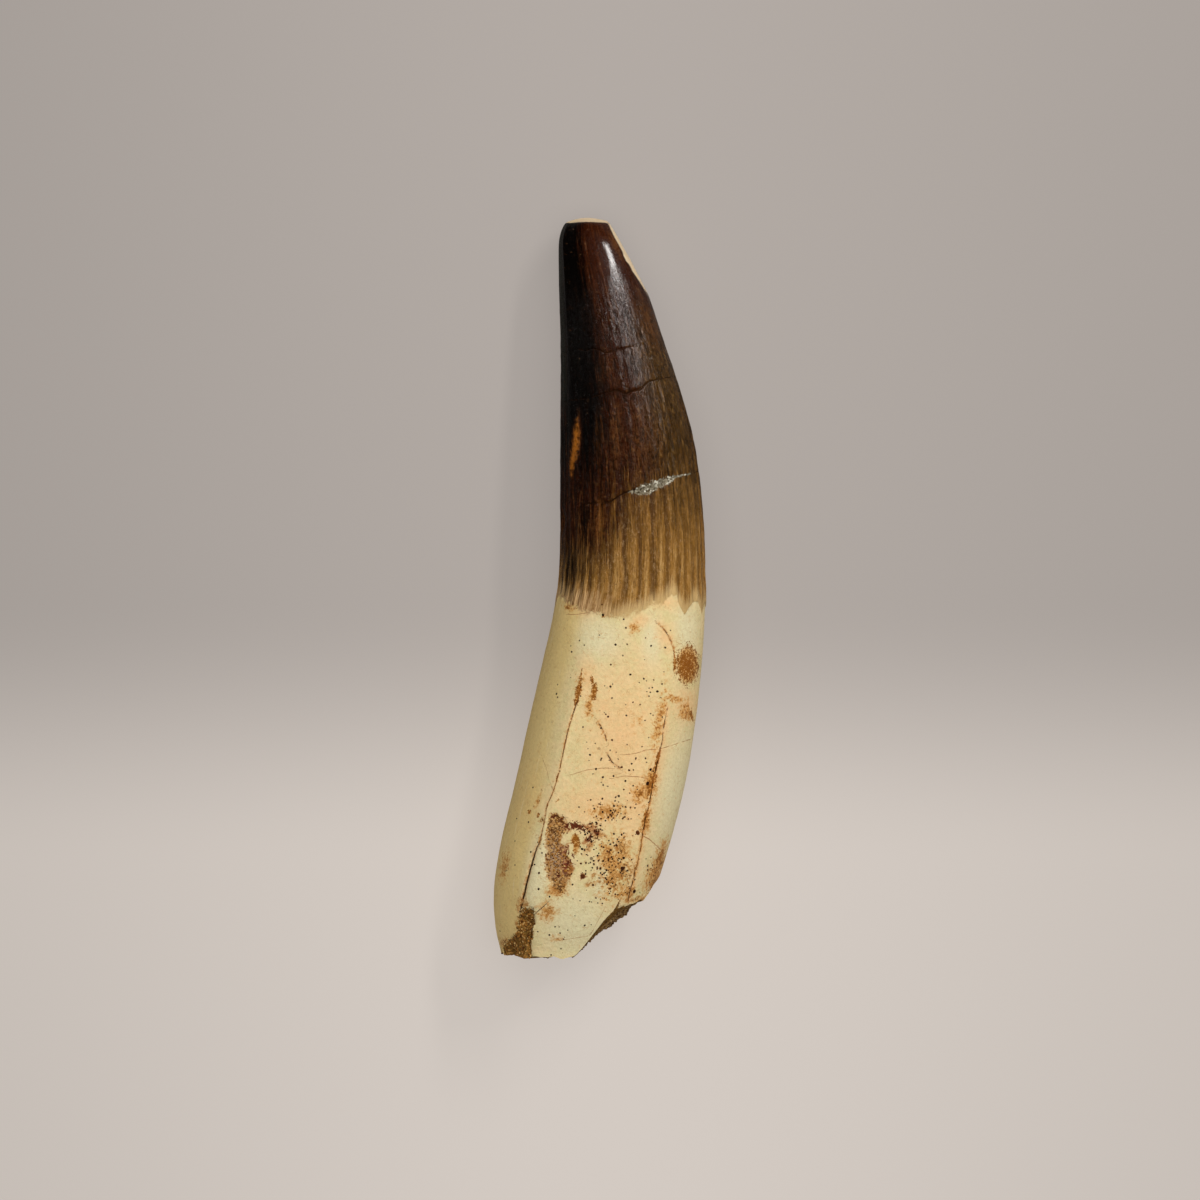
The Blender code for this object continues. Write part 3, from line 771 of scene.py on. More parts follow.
dotted = strongest(
    0.55 + 0 * points[:, 0], blot(614, 870, 22, 34, 10), 0.95 * blot(612, 812, 22, 12),
    0.9 * blot(590, 850, 14, 30),
    0.85 * blot(630, 790, 30, 30), 0.9 * blot(655, 880, 12, 18, 25), 0.8 * blot(612, 760, 50, 60),
)
facet = band(round_angle, 122, 140, 205, 240)
gritty = strongest(fade(soil_patch, 0.45, 0.6), notch_seen * (1 - past_wall))

# Colours that change over the enamel: black to the left of the middle, olive on the
# right, amber where light comes through it, and tan towards the root.
left_dark = band(round_angle, 80, 130, 215, 240)
upper_black = band(round_angle, 78, 134, 148, 158) * (1 - fade(tip_distance, 20, 36))
lower_black = 0.7 * band(round_angle, 84, 132, 215, 240) * band(tip_distance, 20, 33, 30, 50)
black = strongest(
    upper_black + lower_black, blot(587, 407, 17, 8), 0.85 * blot(573, 418, 8, 10),
    0.7 * blot(583, 520, 9, 26), 0.45 * blot(592, 470, 8, 30), 0.62 * blot(570, 566, 16, 26),
)
black *= 1 - 0.8 * blot(575.5, 448, 4.2, 24, 6)
# Painted reflection: a dim grey-green band along the crown's left rim stands in for the floor mirrored in the
# enamel.
rim_reflection = band(round_angle, 149, 156, 168, 182) * (1 - fade(tip_distance, 26, 30))
olive = fade(np.cos(np.radians(round_angle)), 0.1, 0.75) * fade(tip_distance, 9.0, 24.0)
left_side = band(round_angle, 138, 152, 225, 250)
blended = band(round_angle, 84, 130, 225, 250) * fade(tip_distance, 50.5, 56.2)
amber = strongest(blot(575.5, 444, 2.6, 18, 6), blot(573, 460, 2.2, 12, 6))
russet = strongest(
    0.8 * blot(650, 326, 8, 26, -20), 0.8 * blot(616, 244, 5, 14, -22), blot(598, 430, 5, 26),
    0.8 * blot(616, 436, 6, 34), 0.6 * blot(640, 440, 16, 40), 0.7 * blot(580, 300, 4, 30),
    0.6 * blot(600, 370, 12, 12), blot(600, 520, 5, 24),
)
tan = 0.72 * fade(tip_distance, 25.0, 52.0) + 0.28 * fade(tip_distance, 50.0, 57.0)
tan *= 1 - 0.62 * left_dark * (1 - fade(tip_distance, 44, 54))

FIELDS = dict(
    from_tip=tip_distance, ridge_count=ridge_count, keel=keel, relief=relief, broken=broken,
    enamel_inside=enamel_inside, crack_away=crack_away, crack_half=crack_half, hair_away=hair_away,
    hair_half=hair_half, calcite=calcite, iron=iron, blush=blush, pale=pale, soil=soil,
    gritty=gritty, black=black, rim_reflection=rim_reflection, olive=olive, amber=amber, tan=tan,
    ochre=ochre, maroon=maroon, grey=grey, dotted=dotted, facet=facet, russet=russet,
    left_side=left_side, blended=blended, clot=clot, soft_edge=soft_edge,
)
for name, values in FIELDS.items():
    stored = tooth_mesh.attributes.new(name, "FLOAT", "POINT")
    stored.data.foreach_set("value", values.astype(np.float32))
# Seamless coordinates that run straight along the tooth, for streaks.
turn = np.radians(round_angle)
girth = 10.0 - 3.0 * fade(broken, 0.9, 1.0)
straight = np.stack([girth * np.cos(turn), girth * np.sin(turn), tip_distance], axis=-1)
stored = tooth_mesh.attributes.new("straight", "FLOAT_VECTOR", "POINT")
stored.data.foreach_set("vector", straight.astype(np.float32).ravel())


# A tree of nodes puts the fine form on the mesh: the flutes, which fade in below the tip
# and out at the enamel's edge and differ in depth, the keels, the cut marks, faint
# wrinkles of the enamel and waves of the root, and the rough face of the break.
def node(tree, kind, inputs=None, output=0, **settings):
    """Adds a node, gives its inputs links or values, and returns one of its outputs."""
    made = tree.nodes.new(kind)
    for name, value in settings.items():
        setattr(made, name, value)
    for key, value in (inputs or {}).items():
        if isinstance(value, bpy.types.NodeSocket):
            tree.links.new(value, made.inputs[key])
        else:
            made.inputs[key].default_value = value
    return made.outputs[output]


def tree_of(*values):
    """The tree of nodes that the links among some values belong to."""
    return next(value.id_data for value in values if isinstance(value, bpy.types.NodeSocket))


def maths(operation, first, second=0.0):
    return node(tree_of(first, second), "ShaderNodeMath", {0: first, 1: second}, operation=operation)


def less(first, second):
    return maths("SUBTRACT", first, second)


def product(*factors):
    total = factors[0]
    for factor in factors[1:]:
        total = maths("MULTIPLY", total, factor)
    return total


def sum_of(*terms):
    total = terms[0]
    for term in terms[1:]:
        total = maths("ADD", total, term)
    return total


def between(value, low, high, to_low=0.0, to_high=1.0):
    """A value moved smoothly from one range to another."""
    inputs = {0: value, 1: low, 2: high, 3: to_low, 4: to_high}
    return node(tree_of(value), "ShaderNodeMapRange", inputs, interpolation_type="SMOOTHSTEP")


def noise(vector, scale, detail=2.0, roughness=0.5, distortion=0.0):
    inputs = {
        "Vector": vector, "Scale": scale, "Detail": detail, "Roughness": roughness,
        "Distortion": distortion,
    }
    return node(tree_of(vector), "ShaderNodeTexNoise", inputs)


def stretched(vector, factors):
    return node(tree_of(vector), "ShaderNodeVectorMath", {0: vector, 1: factors}, operation="MULTIPLY")


def scaled(vector, factor):
    return node(tree_of(vector), "ShaderNodeVectorMath", {0: vector, "Scale": factor}, operation="SCALE")


def place_in_millimetres(tree):
    return scaled(node(tree, "GeometryNodeInputPosition"), 1 / MM)


def stored_field(tree, name, kind="FLOAT"):
    return node(tree, "GeometryNodeInputNamedAttribute", {"Name": name}, data_type=kind)


def new_tree(name, sizes):
    """A Geometry Nodes tree with named inputs, its input and output nodes."""
    tree = bpy.data.node_groups.new(name, "GeometryNodeTree")
    tree.interface.new_socket("Geometry", in_out="INPUT", socket_type="NodeSocketGeometry")
    for size, value in sizes.items():
        kind = "NodeSocketInt" if isinstance(value, int) else "NodeSocketFloat"
        tree.interface.new_socket(size, in_out="INPUT", socket_type=kind).default_value = value
    tree.interface.new_socket("Geometry", in_out="OUTPUT", socket_type="NodeSocketGeometry")
    return tree, tree.nodes.new("NodeGroupInput"), tree.nodes.new("NodeGroupOutput")


def end_tree(tree, geometry, material, output):
    """The last nodes of every tree: plain geometry with its material."""
    plain = node(tree, "GeometryNodeRealizeInstances", {"Geometry": geometry})
    finished = node(tree, "GeometryNodeSetMaterial", {"Geometry": plain, "Material": material})
    tree.links.new(finished, output.inputs["Geometry"])


def grown(name, mesh, tree, sizes):
    """A piece made by running a Geometry Nodes tree on a mesh, left as a plain mesh."""
    piece = bpy.data.objects.new(name, mesh)
    bpy.context.scene.collection.objects.link(piece)
    modifier = piece.modifiers.new(tree.name, "NODES")
    modifier.node_group = tree
    for item in tree.interface.items_tree:
        if item.in_out == "INPUT" and item.name in sizes:
            modifier[item.identifier] = sizes[item.name]
    evaluated = piece.evaluated_get(bpy.context.evaluated_depsgraph_get())
    plain = bpy.data.meshes.new_from_object(evaluated)
    piece.modifiers.remove(modifier)
    piece.data = plain
    return piece


fossil = bpy.data.materials.new("Enamel and dentine")
SURFACE_SIZES = {
    "Flute depth": 0.32, "Flutes begin": 14.0, "Flutes full": 46.0, "Flutes fade": 53.2, "Flutes end": 56.2,
    "Keel height": 0.14, "Wrinkle height": 0.20, "Root waves": 0.16, "Root grain": 0.03,
    "Broken roughness": 0.7,
}
surface, given, result = new_tree("Tooth surface", SURFACE_SIZES)
size = given.outputs
along = stored_field(surface, "from_tip")
straight_run = stored_field(surface, "straight", "FLOAT_VECTOR")
on_enamel = between(stored_field(surface, "enamel_inside"), -0.1, 0.1)
position = place_in_millimetres(surface)
wander = noise(stretched(straight_run, (0.25, 0.25, 0.10)), 1.0)
phase = product(stored_field(surface, "ridge_count"), 2 * math.pi)
phase = sum_of(phase, product(less(wander, 0.5), 3.0))
ridge = product(sum_of(maths("COSINE", phase), 1.0), 0.5)
fluted = product(
    between(along, size["Flutes begin"], size["Flutes full"]),
    between(along, size["Flutes fade"], size["Flutes end"], 1.0, 0.0),
)
depth_noise = noise(stretched(straight_run, (0.5, 0.5, 0.05)), 1.0)
depth_change = between(depth_noise, 0.3, 0.7, 0.35, 1.15)
flute_height = product(less(ridge, 0.5), fluted, depth_change, size["Flute depth"])
wrinkles = noise(stretched(straight_run, (1.3, 1.3, 0.45)), 1.0, detail=3.0, roughness=0.6, distortion=0.6)
wrinkled = product(
    on_enamel, between(along, 6.0, 17.0, 0.15, 1.0), between(along, 30.0, 48.0, 1.0, 0.45),
)
wrinkle_height = product(less(wrinkles, 0.65), wrinkled, size["Wrinkle height"])
bare = less(1.0, on_enamel)
waves = product(less(noise(position, 0.16), 0.75), bare, size["Root waves"])
fine_noise = noise(position, 1.6, detail=3.0, roughness=0.65)
grain = product(less(fine_noise, 0.75), bare, size["Root grain"])
gritty_height = product(less(noise(position, 2.2), 0.5), stored_field(surface, "gritty"), 0.35)
break_height = product(
    less(noise(position, 0.9, detail=3.0), 0.5),
    stored_field(surface, "broken"), size["Broken roughness"],
)
height = sum_of(
    flute_height, wrinkle_height, waves, grain, gritty_height, break_height,
    product(stored_field(surface, "keel"), size["Keel height"]), stored_field(surface, "relief"),
)
offset = scaled(node(surface, "GeometryNodeInputNormal"), product(height, MM))
moved = node(surface, "GeometryNodeInputPosition")
for operation, limit in (("ADD", offset), ("MAXIMUM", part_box("tooth")[0]), ("MINIMUM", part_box("tooth")[1])):
    moved = node(surface, "ShaderNodeVectorMath", {0: moved, 1: limit}, operation=operation)
shaped = node(
    surface, "GeometryNodeSetPosition", {"Geometry": given.outputs["Geometry"], "Position": moved},
)
flute_mark = {"Geometry": shaped, "Name": "flute", "Value": product(ridge, fluted)}
marked = node(surface, "GeometryNodeStoreNamedAttribute", flute_mark)
end_tree(surface, marked, fossil, result)
tooth = grown("fossil_tooth", tooth_mesh, surface, SURFACE_SIZES)
tooth.data.shade_smooth()
tooth.data.set_sharp_from_angle(angle=math.radians(42.0))
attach(tooth, "root")
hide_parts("tooth")


# The tooth's finish. The dentine is cream, mottled and finely pitted, with iron stains, and a darker cream on
# its left face that is partly painted shade; the enamel is nearly black to olive, with light streaks along the
# flutes towards the root, and glossy. On the flutes the ridges carry a painted highlight and the valleys
# painted shade.
def attribute(tree, name, output=2):
    return node(tree, "ShaderNodeAttribute", output=output, attribute_name=name)


def over(share, below, above):
    """A colour between two, each a link or an (r, g, b)."""
    colours = [(*colour, 1.0) if isinstance(colour, tuple) else colour for colour in (below, above)]
    return node(
        tree_of(share), "ShaderNodeMix", {0: share, 6: colours[0], 7: colours[1]}, output=2,
        data_type="RGBA",
    )


def new_group(name, inputs, outputs):
    """A shader node group with named inputs and outputs."""
    group = bpy.data.node_groups.new(name, "ShaderNodeTree")
    for socket, value in inputs.items():
        made = group.interface.new_socket(socket, in_out="INPUT", socket_type="NodeSocketFloat")
        made.default_value = value
    for socket in outputs:
        group.interface.new_socket(socket, in_out="OUTPUT", socket_type="NodeSocketFloat")
    return group, group.nodes.new("NodeGroupInput"), group.nodes.new("NodeGroupOutput")


def place_group(tree, group, inputs):
    made = tree.nodes.new("ShaderNodeGroup")
    made.node_tree = group
    for name, value in inputs.items():
        if isinstance(value, bpy.types.NodeSocket):
            tree.links.new(value, made.inputs[name])
        else:
            made.inputs[name].default_value = value
    return made.outputs


def in_millimetres(tree):
    """Object coordinates in millimetres."""
    return scaled(node(tree, "ShaderNodeTexCoord", output="Object"), 1 / MM)


mineral, given, result = new_group(
    "Mineral mottle", {"Broad size": 5.0, "Fine size": 0.5, "Dot spacing": 1.6, "Dotted": 0.3},
    ("Broad", "Fine", "Dots"),
)
where = in_millimetres(mineral)
broad = noise(where, maths("DIVIDE", 1.0, given.outputs["Broad size"]), detail=4.0, roughness=0.62)
fine = noise(where, maths("DIVIDE", 1.0, given.outputs["Fine size"]), detail=4.0, roughness=0.65)
dots_per_mm = maths("DIVIDE", 1.0, given.outputs["Dot spacing"])
nearest_dot = node(mineral, "ShaderNodeTexVoronoi", {"Vector": where, "Scale": dots_per_mm})
chance = node(mineral, "ShaderNodeSeparateColor", {0: nearest_dot.node.outputs["Color"]})
dot_size = product(less(sum_of(chance, given.outputs["Dotted"]), 1.0), 0.55)
beyond_dot = less(nearest_dot, dot_size)
mineral.links.new(between(broad, 0.3, 0.7), result.inputs["Broad"])
mineral.links.new(between(fine, 0.25, 0.75), result.inputs["Fine"])
mineral.links.new(between(beyond_dot, -0.03, 0.03, 1.0, 0.0), result.inputs["Dots"])

crack, given, result = new_group(
    "Crack", {"Away": 1.0, "Half width": 0.0, "Ragged": 0.04, "Closed": 0.3}, ("Gap", "Beside"),
)
wobble = less(noise(in_millimetres(crack), 3.0), 0.5)
away = maths("ABSOLUTE", sum_of(given.outputs["Away"], product(wobble, given.outputs["Ragged"], 2.0)))
relative = maths("DIVIDE", away, maths("MAXIMUM", given.outputs["Half width"], 0.01))
real = maths("GREATER_THAN", given.outputs["Half width"], 0.012)
opened = less(noise(in_millimetres(crack), 0.9, detail=3.0), given.outputs["Closed"])
opened = between(opened, -0.05, 0.05)
crack.links.new(product(between(relative, 0.45, 1.15, 1.0, 0.0), real, opened), result.inputs["Gap"])
crack.links.new(product(between(relative, 1.0, 4.5, 1.0, 0.0), real), result.inputs["Beside"])

fossil.use_nodes = True
tree = fossil.node_tree
shader = tree.nodes["Principled BSDF"]


def field(name):
    return attribute(tree, name)


def down_tooth(low, high, to_low=0.0, to_high=1.0):
    """A value that changes with the distance from the tip."""
    return between(field("from_tip"), low, high, to_low, to_high)


def ragged_edge(name, raggedness, low, high, most=1.0):
    """How strongly a field shows where noise makes its rim ragged."""
    return between(sum_of(field(name), product(ragged, raggedness)), low, high, 0.0, most)


def broken_up(name, raggedness):
    """A field broken into spots by noise that is strong only where the field is."""
    spots = sum_of(product(ragged, raggedness), product(granular, 2.0))
    return sum_of(field(name), product(spots, between(field(name), 0.05, 0.4)))


here = in_millimetres(tree)
run = attribute(tree, "straight", output=1)
speckle = noise(here, 1.7, detail=5.0, roughness=0.75)
ragged = less(speckle, 0.5)
granular = less(noise(here, 3.4, detail=3.0, roughness=0.7), 0.5)
patchy = noise(here, 0.5, detail=4.0, roughness=0.65)
scratches = noise(stretched(run, (2.2, 2.2, 0.16)), 1.0, detail=4.0, roughness=0.7)
mineral_here = place_group(tree, mineral, {
    "Broad size": 5.0, "Fine size": 0.45, "Dot spacing": 1.1, "Dotted": product(field("dotted"), 0.58),
})
cracks_here = place_group(tree, crack, {
    "Away": field("crack_away"), "Half width": field("crack_half"), "Ragged": 0.05,
    "Closed": down_tooth(84.0, 90.0, 0.49, 0.32),
})
hairs_here = place_group(tree, crack, {
    "Away": field("hair_away"), "Half width": field("hair_half"), "Ragged": 0.06, "Closed": 0.40,
})

CREAM = (0.80, 0.62, 0.32)
GREENISH = (0.73, 0.61, 0.30)
PALE_CREAM = (0.77, 0.69, 0.42)
BLUSH = (0.85, 0.50, 0.23)
FACET_SHADE_TONE = (0.76, 0.55, 0.205)
OCHRE = (0.60, 0.27, 0.055)
IRON = (0.235, 0.070, 0.007)
IRON_RIM = (0.13, 0.035, 0.006)
SOIL = (0.105, 0.036, 0.009)
MAROON = (0.16, 0.022, 0.008)
GREY_SOIL = (0.46, 0.33, 0.22)
CRACK_DARK = (0.020, 0.007, 0.002)
HAIR_RED = (0.36, 0.12, 0.03)
PITS = (0.47, 0.33, 0.15)
SCRATCHED = (0.86, 0.76, 0.52)
VEINLETS = (0.52, 0.25, 0.09)
OCHRE_GRAINS = (0.28, 0.10, 0.02)
IRON_LIGHT = (0.38, 0.15, 0.02)
WASH_DARK, WASH_LIGHT, WASH_RED = (0.38, 0.15, 0.028), (0.62, 0.33, 0.10), (0.34, 0.085, 0.022)
CLOT_DARK, CLOT_LIGHT = (0.045, 0.004, 0.002), (0.15, 0.028, 0.008)
DOTS = (0.06, 0.028, 0.012)
BESIDE_CRACK = (0.36, 0.13, 0.03)
BREAK_DARK, BREAK_LIGHT, BREAK_PORES = (0.13, 0.056, 0.010), (0.36, 0.19, 0.042), (0.075, 0.034, 0.012)
WORN_DENTINE = (0.80, 0.62, 0.42)

dentine = over(between(patchy, 0.38, 0.62), CREAM, GREENISH)
dentine = over(ragged_edge("pale", 1.2, 0.15, 0.9, 0.85), dentine, PALE_CREAM)
dentine = over(ragged_edge("blush", 1.2, 0.0, 1.15, 0.75), dentine, BLUSH)
# The left face of the root, turned away from the lights, gets a darker and yellower cream: partly its own tone,
# partly painted shade.
dentine = over(product(field("facet"), 0.8), dentine, FACET_SHADE_TONE)
dentine = over(between(mineral_here["Fine"], 0.0, 1.0, 0.24, 0.0), dentine, PITS)
scratched = product(between(scratches, 0.58, 0.72, 0.0, 0.40), field("facet"))
dentine = over(scratched, dentine, SCRATCHED)
veinlet = noise(here, 0.42, detail=4.0, roughness=0.6, distortion=0.8)
veinlet = between(maths("ABSOLUTE", less(veinlet, 0.5)), 0.002, 0.009, 1.0, 0.0)
veinlet = product(veinlet, between(patchy, 0.48, 0.58), 0.55)
dentine = over(veinlet, dentine, VEINLETS)
dentine = over(ragged_edge("ochre", 2.6, 0.15, 0.75, 0.85), dentine, OCHRE)
ochre_grains = sum_of(field("ochre"), product(granular, 3.0), product(ragged, 1.5))
dentine = over(between(ochre_grains, 0.75, 0.95, 0.0, 0.8), dentine, OCHRE_GRAINS)
dentine = over(ragged_edge("iron", 0.5, 0.30, 0.50, 0.8), dentine, OCHRE)
iron_colour = over(between(field("iron"), 0.68, 0.50), IRON, IRON_RIM)
iron_colour = over(between(granular, -0.08, 0.12, 0.0, 0.5), iron_colour, IRON_LIGHT)
dentine = over(between(broken_up("iron", 2.2), 0.42, 0.54), dentine, iron_colour)
clumps = less(noise(here, 1.15, detail=4.0, roughness=0.7, distortion=0.4), 0.5)
soil_wash = between(sum_of(field("soil"), product(ragged, 2.2)), 0.28, 0.70, 0.0, 0.85)
wash_colour = over(between(clumps, -0.1, 0.1), WASH_DARK, WASH_LIGHT)
wash_colour = over(product(field("maroon"), 0.9), wash_colour, WASH_RED)
dentine = over(soil_wash, dentine, wash_colour)
soil_grains = sum_of(field("soil"), product(granular, 3.4), product(clumps, 3.0))
soil_grains = between(soil_grains, 0.98, 1.12, 0.0, 0.9)
soil_colour = over(between(sum_of(field("maroon"), clumps), 0.3, 0.6), SOIL, MAROON)
dentine = over(soil_grains, dentine, soil_colour)
clot_colour = over(between(granular, -0.1, 0.15), CLOT_DARK, CLOT_LIGHT)
dentine = over(between(broken_up("clot", 1.6), 0.42, 0.56, 0.0, 0.95), dentine, clot_colour)
grey_scratch = noise(here, 2.2, detail=3.0, roughness=0.7, distortion=1.5)
grey_scratch = product(field("grey"), between(grey_scratch, 0.50, 0.60, 0.0, 0.9))
dentine = over(grey_scratch, dentine, GREY_SOIL)
dots = product(mineral_here["Dots"], between(field("dotted"), 0.55, 0.85, 0.15, 0.85))
dentine = over(dots, dentine, DOTS)
dentine = over(product(hairs_here["Gap"], 0.75), dentine, HAIR_RED)
beside_crack = product(cracks_here["Beside"], between(speckle, 0.35, 0.65, 0.0, 0.75))
dentine = over(beside_crack, dentine, BESIDE_CRACK)
stone_colour = over(mineral_here["Fine"], BREAK_DARK, BREAK_LIGHT)
stone_colour = over(between(granular, -0.12, 0.06, 0.8, 0.0), stone_colour, BREAK_PORES)
break_mask = between(sum_of(field("broken"), product(granular, 1.5), ragged), 0.40, 0.62)
dentine = over(break_mask, dentine, stone_colour)
dentine = over(down_tooth(19.0, 24.0, 0.8, 0.0), dentine, WORN_DENTINE)

BLACK = (0.0016, 0.0009, 0.0006)
RED_BROWN = (0.027, 0.0050, 0.0012)
DARK_OLIVE = (0.060, 0.028, 0.005)
WARM_BROWN = (0.110, 0.042, 0.007)
TAN = (0.31, 0.145, 0.026)
LIGHT_TAN = (0.53, 0.31, 0.105)
GREIGE = (0.62, 0.42, 0.18)
AMBER = (0.40, 0.125, 0.010)
VALLEY_SHADE = (0.050, 0.018, 0.004)
DARK_STREAK = (0.07, 0.016, 0.003)
RUSSET = (0.15, 0.050, 0.008)
VEIN_DARK, VEIN_LIGHT = (0.010, 0.0045, 0.001), (0.24, 0.125, 0.035)
MOTTLE_DARK, MOTTLE_SHEEN = (0.105, 0.044, 0.007), (0.56, 0.36, 0.17)
RIM_REFLECTION = (0.012, 0.012, 0.008)
PINKISH_DARK, PINKISH_LIGHT = (0.22, 0.095, 0.022), (0.60, 0.37, 0.17)
CALCITE_DARK, CALCITE_LIGHT = (0.045, 0.032, 0.014), (0.34, 0.30, 0.21)

streaks = noise(stretched(run, (1.5, 1.5, 0.13)), 1.0, detail=5.0, roughness=0.7)
fibres = noise(stretched(run, (5.6, 5.6, 0.35)), 1.0, detail=4.0, roughness=0.78)
flute = field("flute")
tan_share = field("tan")
streaked = sum_of(product(less(streaks, 0.5), 2.2), product(less(fibres, 0.5), 2.6))
enamel = over(field("olive"), RED_BROWN, DARK_OLIVE)
streak_colour = over(field("olive"), DARK_STREAK, WARM_BROWN)
enamel = over(between(streaked, -0.1, 0.5, 0.0, 0.75), enamel, streak_colour)
enamel = over(ragged_edge("russet", 1.6, 0.2, 1.0, 0.7), enamel, RUSSET)
veins = noise(stretched(run, (2.1, 2.1, 0.8)), 1.0, detail=4.0, roughness=0.68, distortion=1.3)
veined = down_tooth(6.0, 16.0, 0.25, 1.0)
enamel = over(product(between(veins, 0.52, 0.40), veined, 0.75), enamel, VEIN_DARK)
light_veins = product(between(veins, 0.55, 0.70), veined, between(field("olive"), 0.0, 1.0, 0.2, 0.85))
enamel = over(light_veins, enamel, VEIN_LIGHT)
tan_streaks = sum_of(product(tan_share, 1.6), product(streaked, 0.55), -0.35)
enamel = over(between(tan_streaks, 0.0, 1.0), enamel, TAN)
# Light tan towards the root: partly the enamel's own streaked tone, partly a painted highlight along the flute
# ridges.
tan_and_ridge_highlight = sum_of(product(tan_share, 1.3), product(flute, 0.75), product(streaked, 0.6), -1.35)
enamel = over(between(tan_and_ridge_highlight, 0.0, 0.9), enamel, LIGHT_TAN)
# Painted shade: the flute valleys are painted darker, as the shade of their relief. This is weaker on the olive
# side and near the root.
valley_shade = sum_of(less(0.52, flute), product(streaked, -0.35))
valley_shade = product(
    between(valley_shade, 0.0, 0.5), between(tan_share, 0.15, 0.6, 0.0, 0.75),
    between(field("olive"), 0.3, 1.0, 1.0, 0.55), down_tooth(52.0, 56.5, 1.0, 0.2),
)
enamel = over(valley_shade, enamel, VALLEY_SHADE)
mottled = noise(stretched(run, (3.0, 3.0, 1.3)), 1.0, detail=4.0, roughness=0.8, distortion=1.0)
tanned = between(tan_share, 0.25, 0.6)
enamel = over(product(between(mottled, 0.53, 0.36, 0.0, 0.55), tanned), enamel, MOTTLE_DARK)
# Light pinkish mottling of the tan enamel: partly its own patchy tone, partly painted sheen standing in for its
# glints.
enamel = over(product(between(mottled, 0.53, 0.68, 0.0, 0.40), tanned), enamel, MOTTLE_SHEEN)
near_root = sum_of(between(field("enamel_inside"), 0.0, 3.2, 0.62, 0.0), product(streaked, 0.3))
near_root = product(between(near_root, 0.0, 0.7, 0.0, 0.85), down_tooth(45.0, 50.0))
enamel = over(near_root, enamel, GREIGE)
# Painted reflection of the floor along the left rim of the crown.
enamel = over(field("rim_reflection"), enamel, RIM_REFLECTION)
pinkish = over(between(streaked, -0.3, 0.4), PINKISH_DARK, PINKISH_LIGHT)
pinkish_share = sum_of(field("blended"), product(streaked, 0.35), product(ragged, 0.8))
enamel = over(between(pinkish_share, 0.1, 1.0, 0.0, 0.95), enamel, pinkish)
black_share = sum_of(field("black"), product(streaked, -0.5), product(ragged, 0.35))
enamel = over(between(black_share, 0.05, 0.85), enamel, BLACK)
enamel = over(ragged_edge("amber", 1.8, 0.15, 1.0, 0.9), enamel, AMBER)

enamel_rim = sum_of(
    field("enamel_inside"), product(ragged, sum_of(product(field("soft_edge"), 2.6), 0.5)),
    product(streaked, field("soft_edge"), 0.35),
)
enamel_rim = maths("DIVIDE", enamel_rim, between(field("soft_edge"), 0.0, 1.0, 1.0, 4.5))
on_enamel = between(enamel_rim, -0.09, 0.10)
colour = over(on_enamel, dentine, enamel)
colour = over(cracks_here["Gap"], colour, CRACK_DARK)
calcite_mask = ragged_edge("calcite", 2.4, 0.42, 0.60, 0.85)
calcite_colour = over(between(granular, -0.06, 0.06), CALCITE_DARK, CALCITE_LIGHT)
colour = over(calcite_mask, colour, calcite_colour)
tree.links.new(colour, shader.inputs["Base Color"])

gloss = between(speckle, 0.35, 0.7, 0.22, 0.45)
matt = between(mineral_here["Fine"], 0.0, 1.0, 0.72, 0.52)
rough = node(tree, "ShaderNodeMix", {0: on_enamel, 2: matt, 3: gloss}, data_type="FLOAT")
matt_spots = maths("MAXIMUM", calcite_mask, maths("MAXIMUM", cracks_here["Gap"], field("broken")))
rough = node(tree, "ShaderNodeMix", {0: matt_spots, 2: rough, 3: 0.95}, data_type="FLOAT")
tree.links.new(rough, shader.inputs["Roughness"])
patchy_coat = between(sum_of(veins, down_tooth(7.0, 12.0, 0.2, 0.0)), 0.40, 0.58, 0.25, 1.0)
coated = product(
    on_enamel, less(1.0, matt_spots), down_tooth(15.0, 33.0, 1.0, 0.28), patchy_coat,
    between(field("left_side"), 0.0, 1.0, 1.0, 0.12), between(field("blended"), 0.2, 0.9, 1.0, 0.2),
)
tree.links.new(product(coated, 0.95), shader.inputs["Coat Weight"])
shader.inputs["Coat Roughness"].default_value = 0.12
shader.inputs["Coat IOR"].default_value = 1.45
shader.inputs["Specular IOR Level"].default_value = 0.10

vein_relief = less(veins, 0.5)
wrinkles = product(vein_relief, down_tooth(7.0, 15.0, 0.6, 6.0), down_tooth(30.0, 48.0, 1.0, 0.4))
enamel_bump = product(on_enamel, sum_of(
    wrinkles, product(less(fibres, 0.5), 0.8), product(ragged, veined, 1.6),
    product(less(mottled, 0.5), tanned, 1.6),
))
root_bump = product(less(1.0, on_enamel), sum_of(
    product(less(mineral_here["Fine"], 0.5), 0.8), product(ragged, 0.8), product(dots, -0.6),
))
edge_bump = product(on_enamel, between(field("soft_edge"), 0.0, 0.5, 0.8, 0.0))
bump_height = sum_of(
    enamel_bump, root_bump, product(cracks_here["Gap"], -2.0), product(hairs_here["Gap"], -0.6), edge_bump,
    product(soil_grains, 0.8), product(calcite_mask, granular, 5.0),
    product(field("broken"), granular, 4.0),
)
bump = node(tree, "ShaderNodeBump", {"Strength": 0.8, "Distance": 0.06 * MM, "Height": bump_height})
tree.links.new(bump, shader.inputs["Normal"])
sparkle = product(granular, down_tooth(9.0, 15.0, 0.10, 0.45))
coat_height = sum_of(product(vein_relief, down_tooth(6.0, 15.0, 0.12, 1.15)), sparkle)
coat_height = product(coat_height, on_enamel)
coat_bump = node(tree, "ShaderNodeBump", {"Strength": 1.0, "Distance": 0.06 * MM, "Height": coat_height})
tree.links.new(coat_bump, shader.inputs["Coat Normal"])


